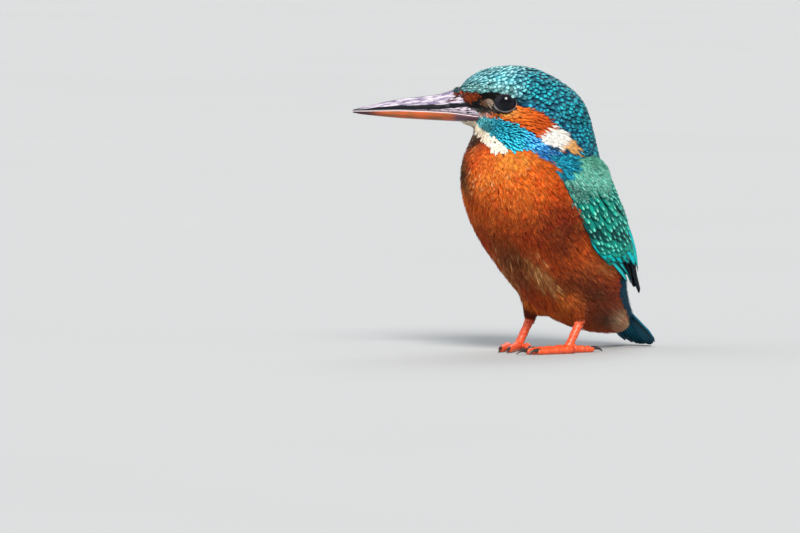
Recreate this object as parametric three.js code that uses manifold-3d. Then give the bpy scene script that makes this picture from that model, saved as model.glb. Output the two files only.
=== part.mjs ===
// A common kingfisher, Alcedo atthis, life size: an adult female standing upright, her body turned
// to the viewer's left front and her head turned 45 degrees to her right.
// Millimetres, +Z up. In the bird's own frame -Y is the way the body faces, +X is her left side,
// and the floor under the feet is z = 0. At the end the whole group is moved so that its origin is
// the bottom centre of its bounding box.
//
// The flesh is one rounded field: ellipsoids and round cones blended together. Each flesh solid is
// a sphere whose vertices are pushed out to that field, then parted from its neighbours by a thin
// cut. Wings and tail are thin shells, bill, legs, toes and claws are lofts.

import * as THREE from "three";
import { mergeVertices } from "three/addons/utils/BufferGeometryUtils.js";
import Module from "manifold-3d";

const wasm = await Module();
wasm.setup();

// ---------------------------------------------------------------- driving dimensions, mm and degrees

const GAP = 0.3; // between neighbouring solids

// Trunk: a breast and a vent ellipsoid. pitch is the slope of the long axis below the horizontal.
const BREAST = { y: -10.95, z: 46.6, pitch: 48, across: 25.9, deep: 21.6, long: 37.6 };
const VENT = { y: 8.5, z: 16.7, pitch: 24.3, across: 8.8, deep: 8, long: 22.7 };
const TRUNK_BLEND = 17;

// Head: distances forward (f) and up (k) from the point midway between the eyes.
const HEAD_TURN = 45; // to her right, about the vertical
const BETWEEN_EYES = new THREE.Vector3(-6.97, -22.5, 83.7);
const SKULL = { f: -2.3, k: 4.1, long: 16.4, across: 12.2, high: 9 };
const NAPE = { f: -15.1, k: -11.5, long: 13.5, across: 12.8, high: 18.4, tilt: 12 };
const FACE = {
  fromF: 4.3, fromK: 3, fromRadius: 5.5,
  toF: 13, toK: -0.5, toRadius: 5.9,
  narrow: 0.8,
};
const NECK = { y: -14.1, z: 60.9, radius: 19.6, f: -10.5, k: -11.6, topRadius: 13.3 };
const SKULL_BLEND = 5;
const FACE_BLEND = 4;
const NECK_BLEND = 9.1;
const HEAD_BLEND = 7.6;

// Thin cuts: between head and neck in the head's frame, between neck and trunk in the body's.
const HEAD_CUT = { frontF: 9, frontK: -9.9, backF: -30, backK: -13.5 };
const NECK_CUT = { frontY: -38, frontZ: 69, backY: 6, backZ: 60 };

// An eyeball's centre lies `out` from the middle of the head.
const EYE = { radius: 4.3, out: 9, up: 1.1 };

// Bill profiles, [distance forward of the eye, height above it or half width].
const CULMEN = [
  [6, 7.7], [14, 6.1], [16.8, 5.1], [21.9, 3.4], [28.6, 2.55], [35.4, 1.85], [42.2, 0.5],
  [47.3, -0.7], [51.4, -1.85],
];
const MOUTH_LINE = [
  [6, -4.2], [13.4, -3.2], [18.5, -2.5], [25.3, -2.15], [35.4, -1.8], [51.4, -2.25],
];
const GONYS = [
  [6, -6.2], [17.8, -5.7], [28.6, -5.1], [35.4, -4.7], [42.2, -4.05], [49, -3.35],
  [51.4, -2.8],
];
const BILL_HALF_WIDTH = [
  [6, 5.6], [14, 4.9], [18, 4.2], [22, 3.6], [28, 2.9], [35, 2.3], [42, 1.7], [49, 0.9],
  [51.4, 0.45],
];
const BILL_STATIONS = 15;
const BILL_LAST = 51.4;
// The face meets the bill in a notch, seen from the side: from the culmen to the mouth, then to the
// chin.
const NOTCH = { culmenF: 16.7, culmenK: 5.1, mouthF: 9.4, mouthK: -3.8, chinF: 17.6, chinK: -5.8 };

// Left wing: its lower (leading) and upper (back) edge from the shoulder to the tip.
const WING_LOWER_EDGE = [
  [20.8, -27, 63.5], [22.5, -25.5, 58], [24, -21.5, 50.5], [24.4, -17, 42.5], [23.8, -11, 36],
  [22, -1.5, 30.5], [18.5, 7, 26.5], [12.5, 16.5, 22], [7.2, 25.3, 18.6], [5.2, 30.3, 16.6],
];
const WING_UPPER_EDGE = [
  [17.5, -8, 66.5], [13, 1.5, 61], [8.5, 7.5, 54.5], [6.2, 12.5, 46], [5.2, 16.5, 37],
  [4.4, 20, 29.5], [3, 25.8, 22.6], [2.8, 30.7, 17.6],
];
const WING_THICKNESS = { edge: 0.6, middle: 1.4, tip: 0.8 };
const WING_STEPS = { along: 21, across: 9 };
// A cushion over the rump carries the wing tips clear of the tail's root.
const RUMP = { y: 17, z: 25.5, pitch: 45, across: 8, deep: 6.6, long: 23, blend: 6 };

// Tail: from its root in the rump down to the floor, a shallow curve. Half width is [share of
// length, mm].
const TAIL = {
  rootY: 14, rootZ: 26.5,
  bendY: 26.5, bendZ: 11.5,
  tipY: 38.8, tipZ: 0.1,
  thickness: 1.2,
};
const TAIL_HALF_WIDTH = [[0, 3.5], [0.35, 5], [0.55, 7.2], [0.75, 9], [0.92, 8.7], [1, 6.2]];
const TAIL_ARCH = 1.1; // how far its side edges droop
const TAIL_TIP_ROUND = 3.2; // how far the outer feathers stop short of the middle ones
const TAIL_STEPS = { along: 10, across: 8 };

// Legs, as for the left one. The right one is its mirror image with other toes' turn.
const HIP = new THREE.Vector3(9.6, -6.6, 17.5);
const ANKLE = new THREE.Vector3(11.7, -5.5, 10.2);
const FOOT_JOINT = new THREE.Vector3(11.7, -11.3, 1.5);
const THIGH = { topRadius: 4.6, ankleRadius: 2 };
const TARSUS = { ankleRadius: 1.75, radius: 1.3, footRadius: 1.7 };
const TOES_TURN = { left: 12, right: 34 }; // inwards from straight ahead
// Each toe: its sideways place and turn outwards from the middle one, start, length and radii.
const TOES = [
  { name: "hallux", side: 0, turn: 172, start: 1.95, length: 7.2, radius: 1.4, tip: 1.05, claw: 3.6 },
  { name: "inner", side: -2.9, turn: -16, start: 1.1, length: 8.9, radius: 1.3, tip: 1.05, claw: 3.4 },
  { name: "middle", side: 0, turn: 0, start: 2, length: 14.2, radius: 1.5, tip: 1.1, claw: 4.4 },
  { name: "outer", side: 3.3, turn: 0, start: 1.1, length: 12.9, radius: 1.4, tip: 1.05, claw: 3.8 },
];
const TOE_PADS = 3;
const TOE_PAD_SWELL = 0.12;
const TOE_HEIGHT = 0.92; // height of a toe's centre line, as a share of its radius: its sole is flat

const COLOURS = {
  crown: 0x1f7d80, orange: 0xc9541c, teal: 0x1e8f8c, tail: 0x25444f, billBlack: 0x1a171c,
  billOrange: 0xc96a4a, eye: 0x0b0908, leg: 0xe2502b, claw: 0x241d1b, neck: 0x2a7fb0,
};

// ---------------------------------------------------------------- small helpers

const radians = THREE.MathUtils.degToRad;
const mix = THREE.MathUtils.lerp;
const v3 = (x, y, z) => new THREE.Vector3(x, y, z);

// The head's own directions: forward, to its left, and up.
const FORWARD = v3(-Math.sin(radians(HEAD_TURN)), -Math.cos(radians(HEAD_TURN)), 0);
const LEFT = v3(Math.cos(radians(HEAD_TURN)), -Math.sin(radians(HEAD_TURN)), 0);
const UP = v3(0, 0, 1);

function headPoint(forward, left, up) {
  return BETWEEN_EYES.clone()
    .addScaledVector(FORWARD, forward)
    .addScaledVector(LEFT, left)
    .addScaledVector(UP, up);
}

// Straight lines between [position, value] keys.
function profile(keys, at) {
  const next = keys.findIndex(([position]) => position >= at);
  if (next === 0) return keys[0][1];
  if (next < 0) return keys[keys.length - 1][1];
  const [from, low] = keys[next - 1];
  const [to, high] = keys[next];
  return mix(low, high, (at - from) / (to - from));
}

// ---------------------------------------------------------------- the rounded field

// Each shape is a function of a point: about its distance outside the surface, negative inside.

function ellipsoid(centre, axes, radii) {
  return (point) => {
    const offset = point.clone().sub(centre);
    const along = axes.map((axis) => offset.dot(axis));
    const near = Math.hypot(...along.map((a, i) => a / radii[i]));
    const slope = Math.hypot(...along.map((a, i) => a / radii[i] ** 2)) + 1e-9;
    return (near * (near - 1)) / slope;
  };
}

function roundCone(start, end, startRadius, endRadius) {
  const axis = end.clone().sub(start);
  const length = axis.length();
  axis.divideScalar(length);
  const lean = (startRadius - endRadius) / length;
  const upright = Math.sqrt(1 - lean * lean);
  return (point) => {
    const offset = point.clone().sub(start);
    const along = offset.dot(axis);
    const aside = Math.sqrt(Math.max(offset.lengthSq() - along * along, 0));
    const place = aside * -lean + along * upright;
    if (place < 0) return Math.hypot(aside, along) - startRadius;
    if (place > length * upright) return Math.hypot(aside, along - length) - endRadius;
    return aside * upright + along * lean - startRadius;
  };
}

// The union of two shapes with a rounded valley about `width` wide.
function blend(first, second, width) {
  return (point) => {
    const a = first(point);
    const b = second(point);
    const near = Math.max(width - Math.abs(a - b), 0) / width;
    return Math.min(a, b) - near * near * width * 0.25;
  };
}

// Axes of a body ellipsoid whose long axis slopes down towards the tail.
function pitchedAxes(pitch) {
  const angle = radians(pitch);
  const down = Math.sin(angle);
  const level = Math.cos(angle);
  return [v3(1, 0, 0), v3(0, down, level), v3(0, level, -down)];
}

function bodyEllipsoid({ y, z, pitch, across, deep, long }) {
  return ellipsoid(v3(0, y, z), pitchedAxes(pitch), [across, deep, long]);
}

function headEllipsoid({ f, k, long, across, high, tilt = 0 }) {
  const angle = radians(tilt);
  const along = FORWARD.clone().multiplyScalar(Math.cos(angle)).addScaledVector(UP, Math.sin(angle));
  const upwards = UP.clone().multiplyScalar(Math.cos(angle)).addScaledVector(FORWARD, -Math.sin(angle));
  return ellipsoid(headPoint(f, 0, k), [along, LEFT, upwards], [long, across, high]);
}

const trunkField = blend(bodyEllipsoid(BREAST), bodyEllipsoid(VENT), TRUNK_BLEND);
const neckField = roundCone(v3(0, NECK.y, NECK.z), headPoint(NECK.f, 0, NECK.k),
  NECK.radius, NECK.topRadius);
const roundFace = roundCone(headPoint(FACE.fromF, 0, FACE.fromK), headPoint(FACE.toF, 0, FACE.toK),
  FACE.fromRadius, FACE.toRadius);
const faceField = (point) => {
  const aside = point.clone().sub(BETWEEN_EYES).dot(LEFT);
  return FACE.narrow * roundFace(point.clone().addScaledVector(LEFT, aside / FACE.narrow - aside));
};
const roundHead = blend(headEllipsoid(SKULL), headEllipsoid(NAPE), SKULL_BLEND);
const headField = blend(roundHead, faceField, FACE_BLEND);
const birdField = blend(blend(trunkField, neckField, NECK_BLEND), headField, HEAD_BLEND);
const wingBedField = blend(birdField, bodyEllipsoid(RUMP), RUMP.blend);

function gradient(field, point) {
  const step = 0.05;
  const at = (x, y, z) => field(v3(point.x + x, point.y + y, point.z + z));
  return v3(
    at(step, 0, 0) - at(-step, 0, 0),
    at(0, step, 0) - at(0, -step, 0),
    at(0, 0, step) - at(0, 0, -step),
  ).divideScalar(2 * step);
}

// Moves a point along the field's slope until it is `height` above the surface.
function ontoField(field, point, height) {
  const moved = point.clone();
  for (let pass = 0; pass < 12; pass += 1) {
    const slope = gradient(field, moved);
    moved.addScaledVector(slope, (height - field(moved)) / slope.lengthSq());
  }
  return moved;
}

// ---------------------------------------------------------------- solids

function solidOf(geometry) {
  const bare = geometry.clone();
  bare.deleteAttribute("normal");
  bare.deleteAttribute("uv");
  const merged = mergeVertices(bare, 1e-4);
  return new wasm.Manifold(new wasm.Mesh({
    numProp: 3,
    vertProperties: merged.attributes.position.array,
    triVerts: new Uint32Array(merged.index.array),
  }));
}

function geometryOf(solid) {
  const mesh = solid.getMesh();
  const geometry = new THREE.BufferGeometry();
  geometry.setAttribute("position", new THREE.BufferAttribute(mesh.vertProperties, 3));
  geometry.setIndex(new THREE.BufferAttribute(mesh.triVerts, 1));
  const faceted = geometry.toNonIndexed();
  faceted.computeVertexNormals();
  return faceted;
}

// A sphere about `centre`, its poles on `axis`, with every vertex pushed out to the field.
function fieldSolid(field, centre, axis, around, along, height = 0) {
  const stride = 0.8;
  const geometry = new THREE.SphereGeometry(1, around, along);
  geometry.applyQuaternion(new THREE.Quaternion().setFromUnitVectors(v3(0, 1, 0), axis));
  const places = geometry.attributes.position;
  for (let i = 0; i < places.count; i += 1) {
    const way = v3().fromBufferAttribute(places, i).normalize();
    const outside = (distance) => field(centre.clone().addScaledVector(way, distance)) > height;
    let far = stride;
    while (!outside(far)) far += stride;
    let near = far - stride;
    for (let halving = 0; halving < 14; halving += 1) {
      const middle = (near + far) / 2;
      if (outside(middle)) far = middle;
      else near = middle;
    }
    const reached = centre.clone().addScaledVector(way, near);
    places.setXYZ(i, reached.x, reached.y, reached.z);
  }
  return solidOf(geometry);
}

// A large block that fills the space on the side of a plane that `normal` points to.
function halfSpace(point, normal) {
  const size = 300;
  const block = new THREE.BoxGeometry(size, size, size);
  block.translate(0, 0, size / 2);
  block.applyQuaternion(new THREE.Quaternion().setFromUnitVectors(UP, normal.clone().normalize()));
  block.translate(point.x, point.y, point.z);
  return solidOf(block);
}

// Triangles over a grid of points, rows by columns, each row closed on itself when `ring` is true.
function gridTriangles(rows, columns, ring, offset, flip) {
  const triangles = [];
  const across = ring ? columns : columns - 1;
  for (let row = 0; row < rows - 1; row += 1) {
    for (let column = 0; column < across; column += 1) {
      const a = offset + row * columns + column;
      const b = offset + row * columns + ((column + 1) % columns);
      const [c, d] = [a + columns, b + columns];
      triangles.push(...(flip ? [a, c, b, b, c, d] : [a, b, c, b, d, c]));
    }
  }
  return triangles;
}

function indexedSolid(points, triangles) {
  const geometry = new THREE.BufferGeometry().setFromPoints(points);
  geometry.setIndex(triangles);
  const solid = solidOf(geometry);
  if (solid.volume() > 0) return solid;
  const turned = [];
  for (let i = 0; i < triangles.length; i += 3) {
    turned.push(triangles[i], triangles[i + 2], triangles[i + 1]);
  }
  geometry.setIndex(turned);
  return solidOf(geometry);
}

// A closed skin through rings of points, with a fan over each end.
function loft(rings) {
  const sides = rings[0].length;
  const points = rings.flat();
  const triangles = gridTriangles(rings.length, sides, true, 0, false);
  for (const last of [false, true]) {
    const ring = last ? rings[rings.length - 1] : rings[0];
    const start = last ? (rings.length - 1) * sides : 0;
    const centre = points.length;
    points.push(ring.reduce((sum, point) => sum.add(point), v3()).divideScalar(sides));
    for (let i = 0; i < sides; i += 1) {
      const [a, b] = [start + i, start + ((i + 1) % sides)];
      triangles.push(...(last ? [a, b, centre] : [b, a, centre]));
    }
  }
  return indexedSolid(points, triangles);
}

// A thin closed shell between two grids of points, joined along their four sides.
function shell(place, steps) {
  const rows = steps.along + 1;
  const columns = steps.across + 1;
  const points = [];
  for (const side of [1, 0]) {
    for (let row = 0; row < rows; row += 1) {
      for (let column = 0; column < columns; column += 1) {
        points.push(place(row / steps.along, column / steps.across, side));
      }
    }
  }
  const under = rows * columns;
  const triangles = gridTriangles(rows, columns, false, 0, false);
  triangles.push(...gridTriangles(rows, columns, false, under, true));
  const rim = [];
  for (let column = 0; column < columns - 1; column += 1) rim.push(column);
  for (let row = 0; row < rows - 1; row += 1) rim.push(row * columns + columns - 1);
  for (let column = columns - 1; column > 0; column -= 1) rim.push((rows - 1) * columns + column);
  for (let row = rows - 1; row > 0; row -= 1) rim.push(row * columns);
  rim.forEach((a, i) => {
    const b = rim[(i + 1) % rim.length];
    triangles.push(b, a, a + under, b, a + under, b + under);
  });
  return indexedSolid(points, triangles);
}

// A tube along a curve: radius is a function of the share of the length, and nothing goes below the
// floor.
function limb(curve, radius, sides, steps) {
  const rings = [];
  for (let step = 0; step <= steps; step += 1) {
    const share = step / steps;
    const centre = curve.getPoint(share);
    const along = curve.getTangent(share);
    const aside = v3().crossVectors(along, Math.abs(along.z) > 0.9 ? v3(0, 1, 0) : UP).normalize();
    const over = v3().crossVectors(aside, along);
    const ring = [];
    for (let side = 0; side < sides; side += 1) {
      const angle = (2 * Math.PI * (side + 0.5)) / sides;
      const point = centre.clone()
        .addScaledVector(aside, radius(share) * Math.cos(angle))
        .addScaledVector(over, radius(share) * Math.sin(angle));
      point.z = Math.max(point.z, 0);
      ring.push(point);
    }
    rings.push(ring);
  }
  return loft(rings);
}

// ---------------------------------------------------------------- the parts

const kingfisher = new THREE.Group();

function add(name, solid, colour, roughness) {
  const material = new THREE.MeshStandardMaterial({ color: colour, roughness, metalness: 0 });
  const mesh = new THREE.Mesh(geometryOf(solid), material);
  mesh.name = name;
  kingfisher.add(mesh);
}

// A plane given by two points and a sideways direction, as a point on it and its upward normal.
function cutPlane(front, back, sideways) {
  const normal = v3().crossVectors(back.clone().sub(front), sideways).normalize();
  if (normal.z < 0) normal.negate();
  return { point: front, normal };
}

function above({ point, normal }, shift) {
  return halfSpace(point.clone().addScaledVector(normal, shift), normal);
}

function below({ point, normal }, shift) {
  return halfSpace(point.clone().addScaledVector(normal, -shift), normal.clone().negate());
}

const headCut = cutPlane(headPoint(HEAD_CUT.frontF, 0, HEAD_CUT.frontK),
  headPoint(HEAD_CUT.backF, 0, HEAD_CUT.backK), LEFT);
const neckCut = cutPlane(v3(0, NECK_CUT.frontY, NECK_CUT.frontZ),
  v3(0, NECK_CUT.backY, NECK_CUT.backZ), v3(1, 0, 0));

// The space in front of the upper or the lower face of the notch, `shift` further forward.
function beforeFace(upper, shift) {
  const mouth = headPoint(NOTCH.mouthF, 0, NOTCH.mouthK);
  const far = upper
    ? headPoint(NOTCH.culmenF, 0, NOTCH.culmenK)
    : headPoint(NOTCH.chinF, 0, NOTCH.chinK);
  const normal = v3().crossVectors(far.sub(mouth), LEFT).normalize();
  if (normal.dot(FORWARD) < 0) normal.negate();
  return halfSpace(mouth.addScaledVector(normal, shift), normal);
}

function eyeball(side, grow) {
  const geometry = new THREE.SphereGeometry(EYE.radius + grow, 16, 10);
  const centre = headPoint(0, side * EYE.out, EYE.up);
  geometry.translate(centre.x, centre.y, centre.z);
  return solidOf(geometry);
}

// One half of the bill, from behind the feathers to the tip: a roof over the mouth line, or a keel
// under it.
function billHalf(upper) {
  const arcs = 6;
  const rings = [];
  for (let station = 0; station <= BILL_STATIONS; station += 1) {
    const f = mix(CULMEN[0][0], BILL_LAST, station / BILL_STATIONS);
    const mouth = profile(MOUTH_LINE, f) + (upper ? GAP : -GAP) / 2;
    const crest = profile(upper ? CULMEN : GONYS, f);
    const half = profile(BILL_HALF_WIDTH, f);
    const ring = [];
    for (let arc = 0; arc <= arcs; arc += 1) {
      const angle = (Math.PI * arc) / arcs;
      const rise = (crest - mouth) * Math.sin(angle) ** 0.85;
      ring.push(headPoint(f, half * Math.cos(angle), mouth + rise));
    }
    rings.push(ring);
  }
  return loft(rings).intersect(beforeFace(upper, 0));
}

function addHead() {
  const notch = beforeFace(true, -GAP).intersect(beforeFace(false, -GAP));
  const head = fieldSolid(birdField, headPoint(-8, 0, -3), FORWARD, 32, 25)
    .intersect(above(headCut, GAP / 2))
    .subtract(notch)
    .subtract(eyeball(1, GAP))
    .subtract(eyeball(-1, GAP));
  add("head", head, COLOURS.crown, 0.7);
  add("eye_left", eyeball(1, 0), COLOURS.eye, 0.05);
  add("eye_right", eyeball(-1, 0), COLOURS.eye, 0.05);
  add("bill_upper", billHalf(true), COLOURS.billBlack, 0.25);
  add("bill_lower", billHalf(false), COLOURS.billOrange, 0.35);
}

function wholeTrunk(height) {
  return fieldSolid(birdField, v3(0, -5, 38), pitchedAxes(BREAST.pitch)[2], 40, 28, height);
}

function addNeckAndTrunk() {
  const neckMiddle = headCut.point.clone().add(neckCut.point)
    .add(headPoint(HEAD_CUT.backF, 0, HEAD_CUT.backK)).add(v3(0, NECK_CUT.backY, NECK_CUT.backZ))
    .divideScalar(4);
  const neck = fieldSolid(birdField, neckMiddle, UP, 36, 30)
    .intersect(below(headCut, GAP / 2))
    .intersect(above(neckCut, GAP / 2));
  add("neck", neck, COLOURS.neck, 0.7);
  const trunk = wholeTrunk(0).intersect(below(neckCut, GAP / 2));
  add("trunk", trunk, COLOURS.orange, 0.75);
}

// The trunk a little swollen, to cut from what meets it.
const trunkRoom = wholeTrunk(GAP + 0.05);

function curveThrough(points, side) {
  return new THREE.CatmullRomCurve3(points.map(([x, y, z]) => v3(side * x, y, z)));
}

// A folded wing: a shell that lies on the body and on the cushion over the rump.
function addWing(name, side) {
  const lower = curveThrough(WING_LOWER_EDGE, side);
  const upper = curveThrough(WING_UPPER_EDGE, side);
  const { edge, middle, tip } = WING_THICKNESS;
  const wing = shell((along, across, outer) => {
    const start = lower.getPoint(along).lerp(upper.getPoint(along), across);
    // Outwards, clear of the body's middle.
    start.x += side * 4 * Math.sin(Math.PI * across) * (1 - along);
    const swell = Math.sqrt(Math.sin(Math.PI * across)) * Math.min(1, 6 * along + 0.15);
    const thick = mix(mix(edge, middle, swell), tip, THREE.MathUtils.smoothstep(along, 0.6, 1));
    return ontoField(wingBedField, start, GAP + 0.05 + outer * thick);
  }, WING_STEPS);
  add(name, wing, COLOURS.teal, 0.6);
}

// The tail feathers lie together as one thin, slightly arched fan that rests its tip on the floor.
function addTail() {
  const middle = new THREE.QuadraticBezierCurve3(
    v3(0, TAIL.rootY, TAIL.rootZ),
    v3(0, TAIL.bendY, TAIL.bendZ),
    v3(0, TAIL.tipY, TAIL.tipZ),
  );
  const fan = shell((along, across, outer) => {
    const aside = 2 * across - 1;
    const shortened = along * (1 - (TAIL_TIP_ROUND / middle.getLength()) * aside ** 4);
    const centre = middle.getPoint(shortened);
    const tangent = middle.getTangent(shortened);
    const over = v3(0, -tangent.z, tangent.y);
    const drop = TAIL_ARCH * aside * aside * Math.sin(Math.PI * Math.min(along, 0.75));
    centre.x = aside * profile(TAIL_HALF_WIDTH, along);
    return centre.addScaledVector(over, (outer - 0.5) * TAIL.thickness - drop);
  }, TAIL_STEPS);
  const tail = fan.subtract(trunkRoom).intersect(halfSpace(v3(0, 0, 0), UP));
  add("tail", tail, COLOURS.tail, 0.6);
}

function mirrored(point, side) {
  return v3(side * point.x, point.y, point.z);
}

// Thigh in its feathers, bare tarsus, and four toes with a claw each.
function addLeg(word, side) {
  const hip = mirrored(HIP, side);
  const ankle = mirrored(ANKLE, side);
  const joint = mirrored(FOOT_JOINT, side);
  const down = ankle.clone().sub(hip).normalize();
  const knee = ankle.clone().addScaledVector(down, -TARSUS.ankleRadius - GAP);
  const thighRadius = (t) => mix(THIGH.topRadius, THIGH.ankleRadius, t);
  const thigh = limb(new THREE.LineCurve3(hip, knee), thighRadius, 12, 3).subtract(trunkRoom);
  add(`thigh_${word}`, thigh, COLOURS.orange, 0.75);

  const shankTop = ankle.clone().addScaledVector(down, -TARSUS.ankleRadius * 0.55);
  const shank = new THREE.LineCurve3(shankTop, joint);
  const tarsusRadius = (t) => {
    const end = t < 0.5 ? TARSUS.ankleRadius : TARSUS.footRadius;
    return mix(TARSUS.radius, end, Math.abs(2 * t - 1) ** 3) * (t === 0 ? 0.7 : 1);
  };
  add(`tarsus_${word}`, limb(shank, tarsusRadius, 10, 7), COLOURS.leg, 0.45);

  for (const toe of TOES) {
    const turn = radians(TOES_TURN[word] - toe.turn);
    const ahead = v3(-side * Math.sin(turn), -Math.cos(turn), 0);
    const straight = radians(TOES_TURN[word]);
    const outwards = v3(side * Math.cos(straight), -Math.sin(straight), 0);
    const base = v3(joint.x, joint.y, toe.radius * TOE_HEIGHT).addScaledVector(outwards, toe.side)
      .addScaledVector(ahead, toe.start);
    const end = base.clone().addScaledVector(ahead, toe.length).setZ(toe.tip * TOE_HEIGHT);
    const pads = (t) => mix(toe.radius, toe.tip, t) * (t === 0 || t === 1 ? 0.75
      : 1 + TOE_PAD_SWELL * Math.sin(2 * Math.PI * TOE_PADS * t - 0.5));
    add(`toe_${toe.name}_${word}`, limb(new THREE.LineCurve3(base, end), pads, 8, 7), COLOURS.leg, 0.5);

    const root = end.clone().addScaledVector(ahead, GAP).setZ(1.25);
    const bow = root.clone().addScaledVector(ahead, toe.claw * 0.6).setZ(1.9);
    const point = root.clone().addScaledVector(ahead, toe.claw).setZ(0.3);
    const hook = new THREE.QuadraticBezierCurve3(root, bow, point);
    const claw = limb(hook, (t) => mix(0.75, 0.14, t), 6, 5);
    add(`claw_${toe.name}_${word}`, claw, COLOURS.claw, 0.3);
  }
}

addHead();
addNeckAndTrunk();
addWing("wing_left", 1);
addWing("wing_right", -1);
addTail();
addLeg("left", 1);
addLeg("right", -1);

// The origin goes to the bottom centre of the whole.
const bounds = new THREE.Box3().setFromObject(kingfisher);
const middleOfBox = bounds.getCenter(v3());
kingfisher.position.set(-middleOfBox.x, -middleOfBox.y, -bounds.min.z);

export default kingfisher;
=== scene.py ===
"""A common kingfisher, life size, standing at rest with her head turned to her right.

Lengths are in millimetres in the bird's own frame (-Y the way her body faces, +X her left, the floor
z = 0) until a mesh is made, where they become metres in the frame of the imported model.
"""
import collections
import math

import bpy
import numpy as np
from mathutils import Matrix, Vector, kdtree


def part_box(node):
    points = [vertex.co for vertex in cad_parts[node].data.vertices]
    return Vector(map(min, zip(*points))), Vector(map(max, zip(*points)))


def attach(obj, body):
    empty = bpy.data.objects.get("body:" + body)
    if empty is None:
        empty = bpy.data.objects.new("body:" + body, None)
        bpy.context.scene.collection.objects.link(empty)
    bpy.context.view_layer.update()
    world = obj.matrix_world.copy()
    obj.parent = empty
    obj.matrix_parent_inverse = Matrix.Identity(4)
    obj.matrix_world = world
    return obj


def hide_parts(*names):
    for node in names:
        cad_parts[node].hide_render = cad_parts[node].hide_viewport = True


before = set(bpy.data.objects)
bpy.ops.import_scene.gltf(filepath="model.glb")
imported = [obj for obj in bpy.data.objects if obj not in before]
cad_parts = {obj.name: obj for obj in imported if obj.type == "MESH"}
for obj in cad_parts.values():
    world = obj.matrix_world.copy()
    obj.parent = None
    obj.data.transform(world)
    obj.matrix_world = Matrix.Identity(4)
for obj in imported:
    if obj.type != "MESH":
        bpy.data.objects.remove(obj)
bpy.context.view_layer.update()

MM = 0.001
SEED = 20717
TAU = 2 * math.pi
SIDES = dict(left=1, right=-1)

# ---------------------------------------------------------------- sizes shared with the solids

BETWEEN_EYES = np.array([-6.97, -22.5, 83.7])
HEAD_TURN = math.radians(45)
FORWARD = np.array([-math.sin(HEAD_TURN), -math.cos(HEAD_TURN), 0.0])
LEFT = np.array([math.cos(HEAD_TURN), -math.sin(HEAD_TURN), 0.0])
UP = np.array([0.0, 0.0, 1.0])

BREAST = dict(y=-10.95, z=46.6, pitch=48, across=25.9, deep=21.6, long=37.6)
VENT = dict(y=8.5, z=16.7, pitch=24.3, across=8.8, deep=8, long=22.7)
RUMP = dict(y=17, z=25.5, pitch=45, across=8, deep=6.6, long=23)
SKULL = dict(f=-2.3, k=4.1, long=16.4, across=12.2, high=9, tilt=0)
NAPE = dict(f=-15.1, k=-11.5, long=13.5, across=12.8, high=18.4, tilt=12)
TRUNK_BLEND, NECK_BLEND, SKULL_BLEND, FACE_BLEND, HEAD_BLEND, RUMP_BLEND = 17, 9.1, 5, 4, 7.6, 6
FACE_NARROW = 0.8
EYE_RADIUS, EYE_OUT, EYE_UP = 4.3, 9.0, 1.1
GAZE_UP = EYE_UP - 0.25
EYE_LONG = 1.2

CULMEN = [(6, 7.7), (14, 6.1), (16.8, 5.1), (21.9, 3.4), (28.6, 2.55), (35.4, 1.85), (42.2, 0.5),
          (47.3, -0.7), (51.4, -1.85)]
MOUTH_LINE = [(6, -4.2), (13.4, -3.2), (18.5, -2.5), (25.3, -2.15), (35.4, -1.8), (51.4, -2.25)]
GONYS = [(6, -6.2), (17.8, -5.7), (28.6, -5.1), (35.4, -4.7), (42.2, -4.05), (49, -3.35), (51.4, -2.8)]
BILL_HALF_WIDTH = [(6, 5.6), (14, 4.9), (18, 4.2), (22, 3.6), (28, 2.9), (35, 2.3), (42, 1.7), (49, 0.9),
                   (51.4, 0.45)]
NOTCH_CULMEN, NOTCH_MOUTH, NOTCH_CHIN = (16.7, 5.1), (9.4, -3.8), (17.6, -5.8)

WING_LOWER_EDGE = [(20.8, -27, 63.5), (22.5, -25.5, 58), (24, -21.5, 50.5), (24.4, -17, 42.5),
                   (23.8, -11, 36), (22, -1.5, 30.5), (18.5, 7, 26.5), (12.5, 16.5, 22), (7.2, 25.3, 18.6),
                   (5.2, 30.3, 16.6)]
WING_UPPER_EDGE = [(17.5, -8, 66.5), (13, 1.5, 61), (8.5, 7.5, 54.5), (6.2, 12.5, 46), (5.2, 16.5, 37),
                   (4.4, 20, 29.5), (3, 25.8, 22.6), (2.8, 30.7, 17.6)]
WING_EDGE, WING_MIDDLE, WING_TIP, WING_CLEAR = 0.6, 1.4, 0.8, 0.35

TAIL_ROOT, TAIL_BEND, TAIL_TIP = (14, 26.5), (26.5, 11.5), (38.8, 0.1)
TAIL_HALF_WIDTH = [(0, 3.5), (0.35, 5), (0.55, 7.2), (0.75, 9), (0.92, 8.7), (1, 6.2)]

HIP, ANKLE, FOOT_JOINT = (9.6, -6.6, 17.5), (11.7, -5.5, 10.2), (11.7, -11.3, 1.5)
TOES_TURN = dict(left=12, right=34)
TOES = dict(
    hallux=dict(side=0, turn=172, start=1.95, length=7.2, radius=1.4, tip=1.05, claw=3.6),
    inner=dict(side=-2.9, turn=-16, start=1.1, length=8.9, radius=1.3, tip=1.05, claw=3.4),
    middle=dict(side=0, turn=0, start=2, length=14.2, radius=1.5, tip=1.1, claw=4.4),
    outer=dict(side=3.3, turn=0, start=1.1, length=12.9, radius=1.4, tip=1.05, claw=3.8),
)
TOE_HEIGHT = 0.92


# ---------------------------------------------------------------- small helpers

def head(f, l, k):
    """The point f forward, l left and k up from the middle between the eyes; each may be an array."""
    outer = np.multiply.outer
    return BETWEEN_EYES + outer(f, FORWARD) + outer(l, LEFT) + outer(k, UP)


def side_view(points):
    """Forward and up distances of points from the middle between the eyes, seen from the head's side."""
    return (points - BETWEEN_EYES) @ FORWARD, points[..., 2] - BETWEEN_EYES[2]


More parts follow.
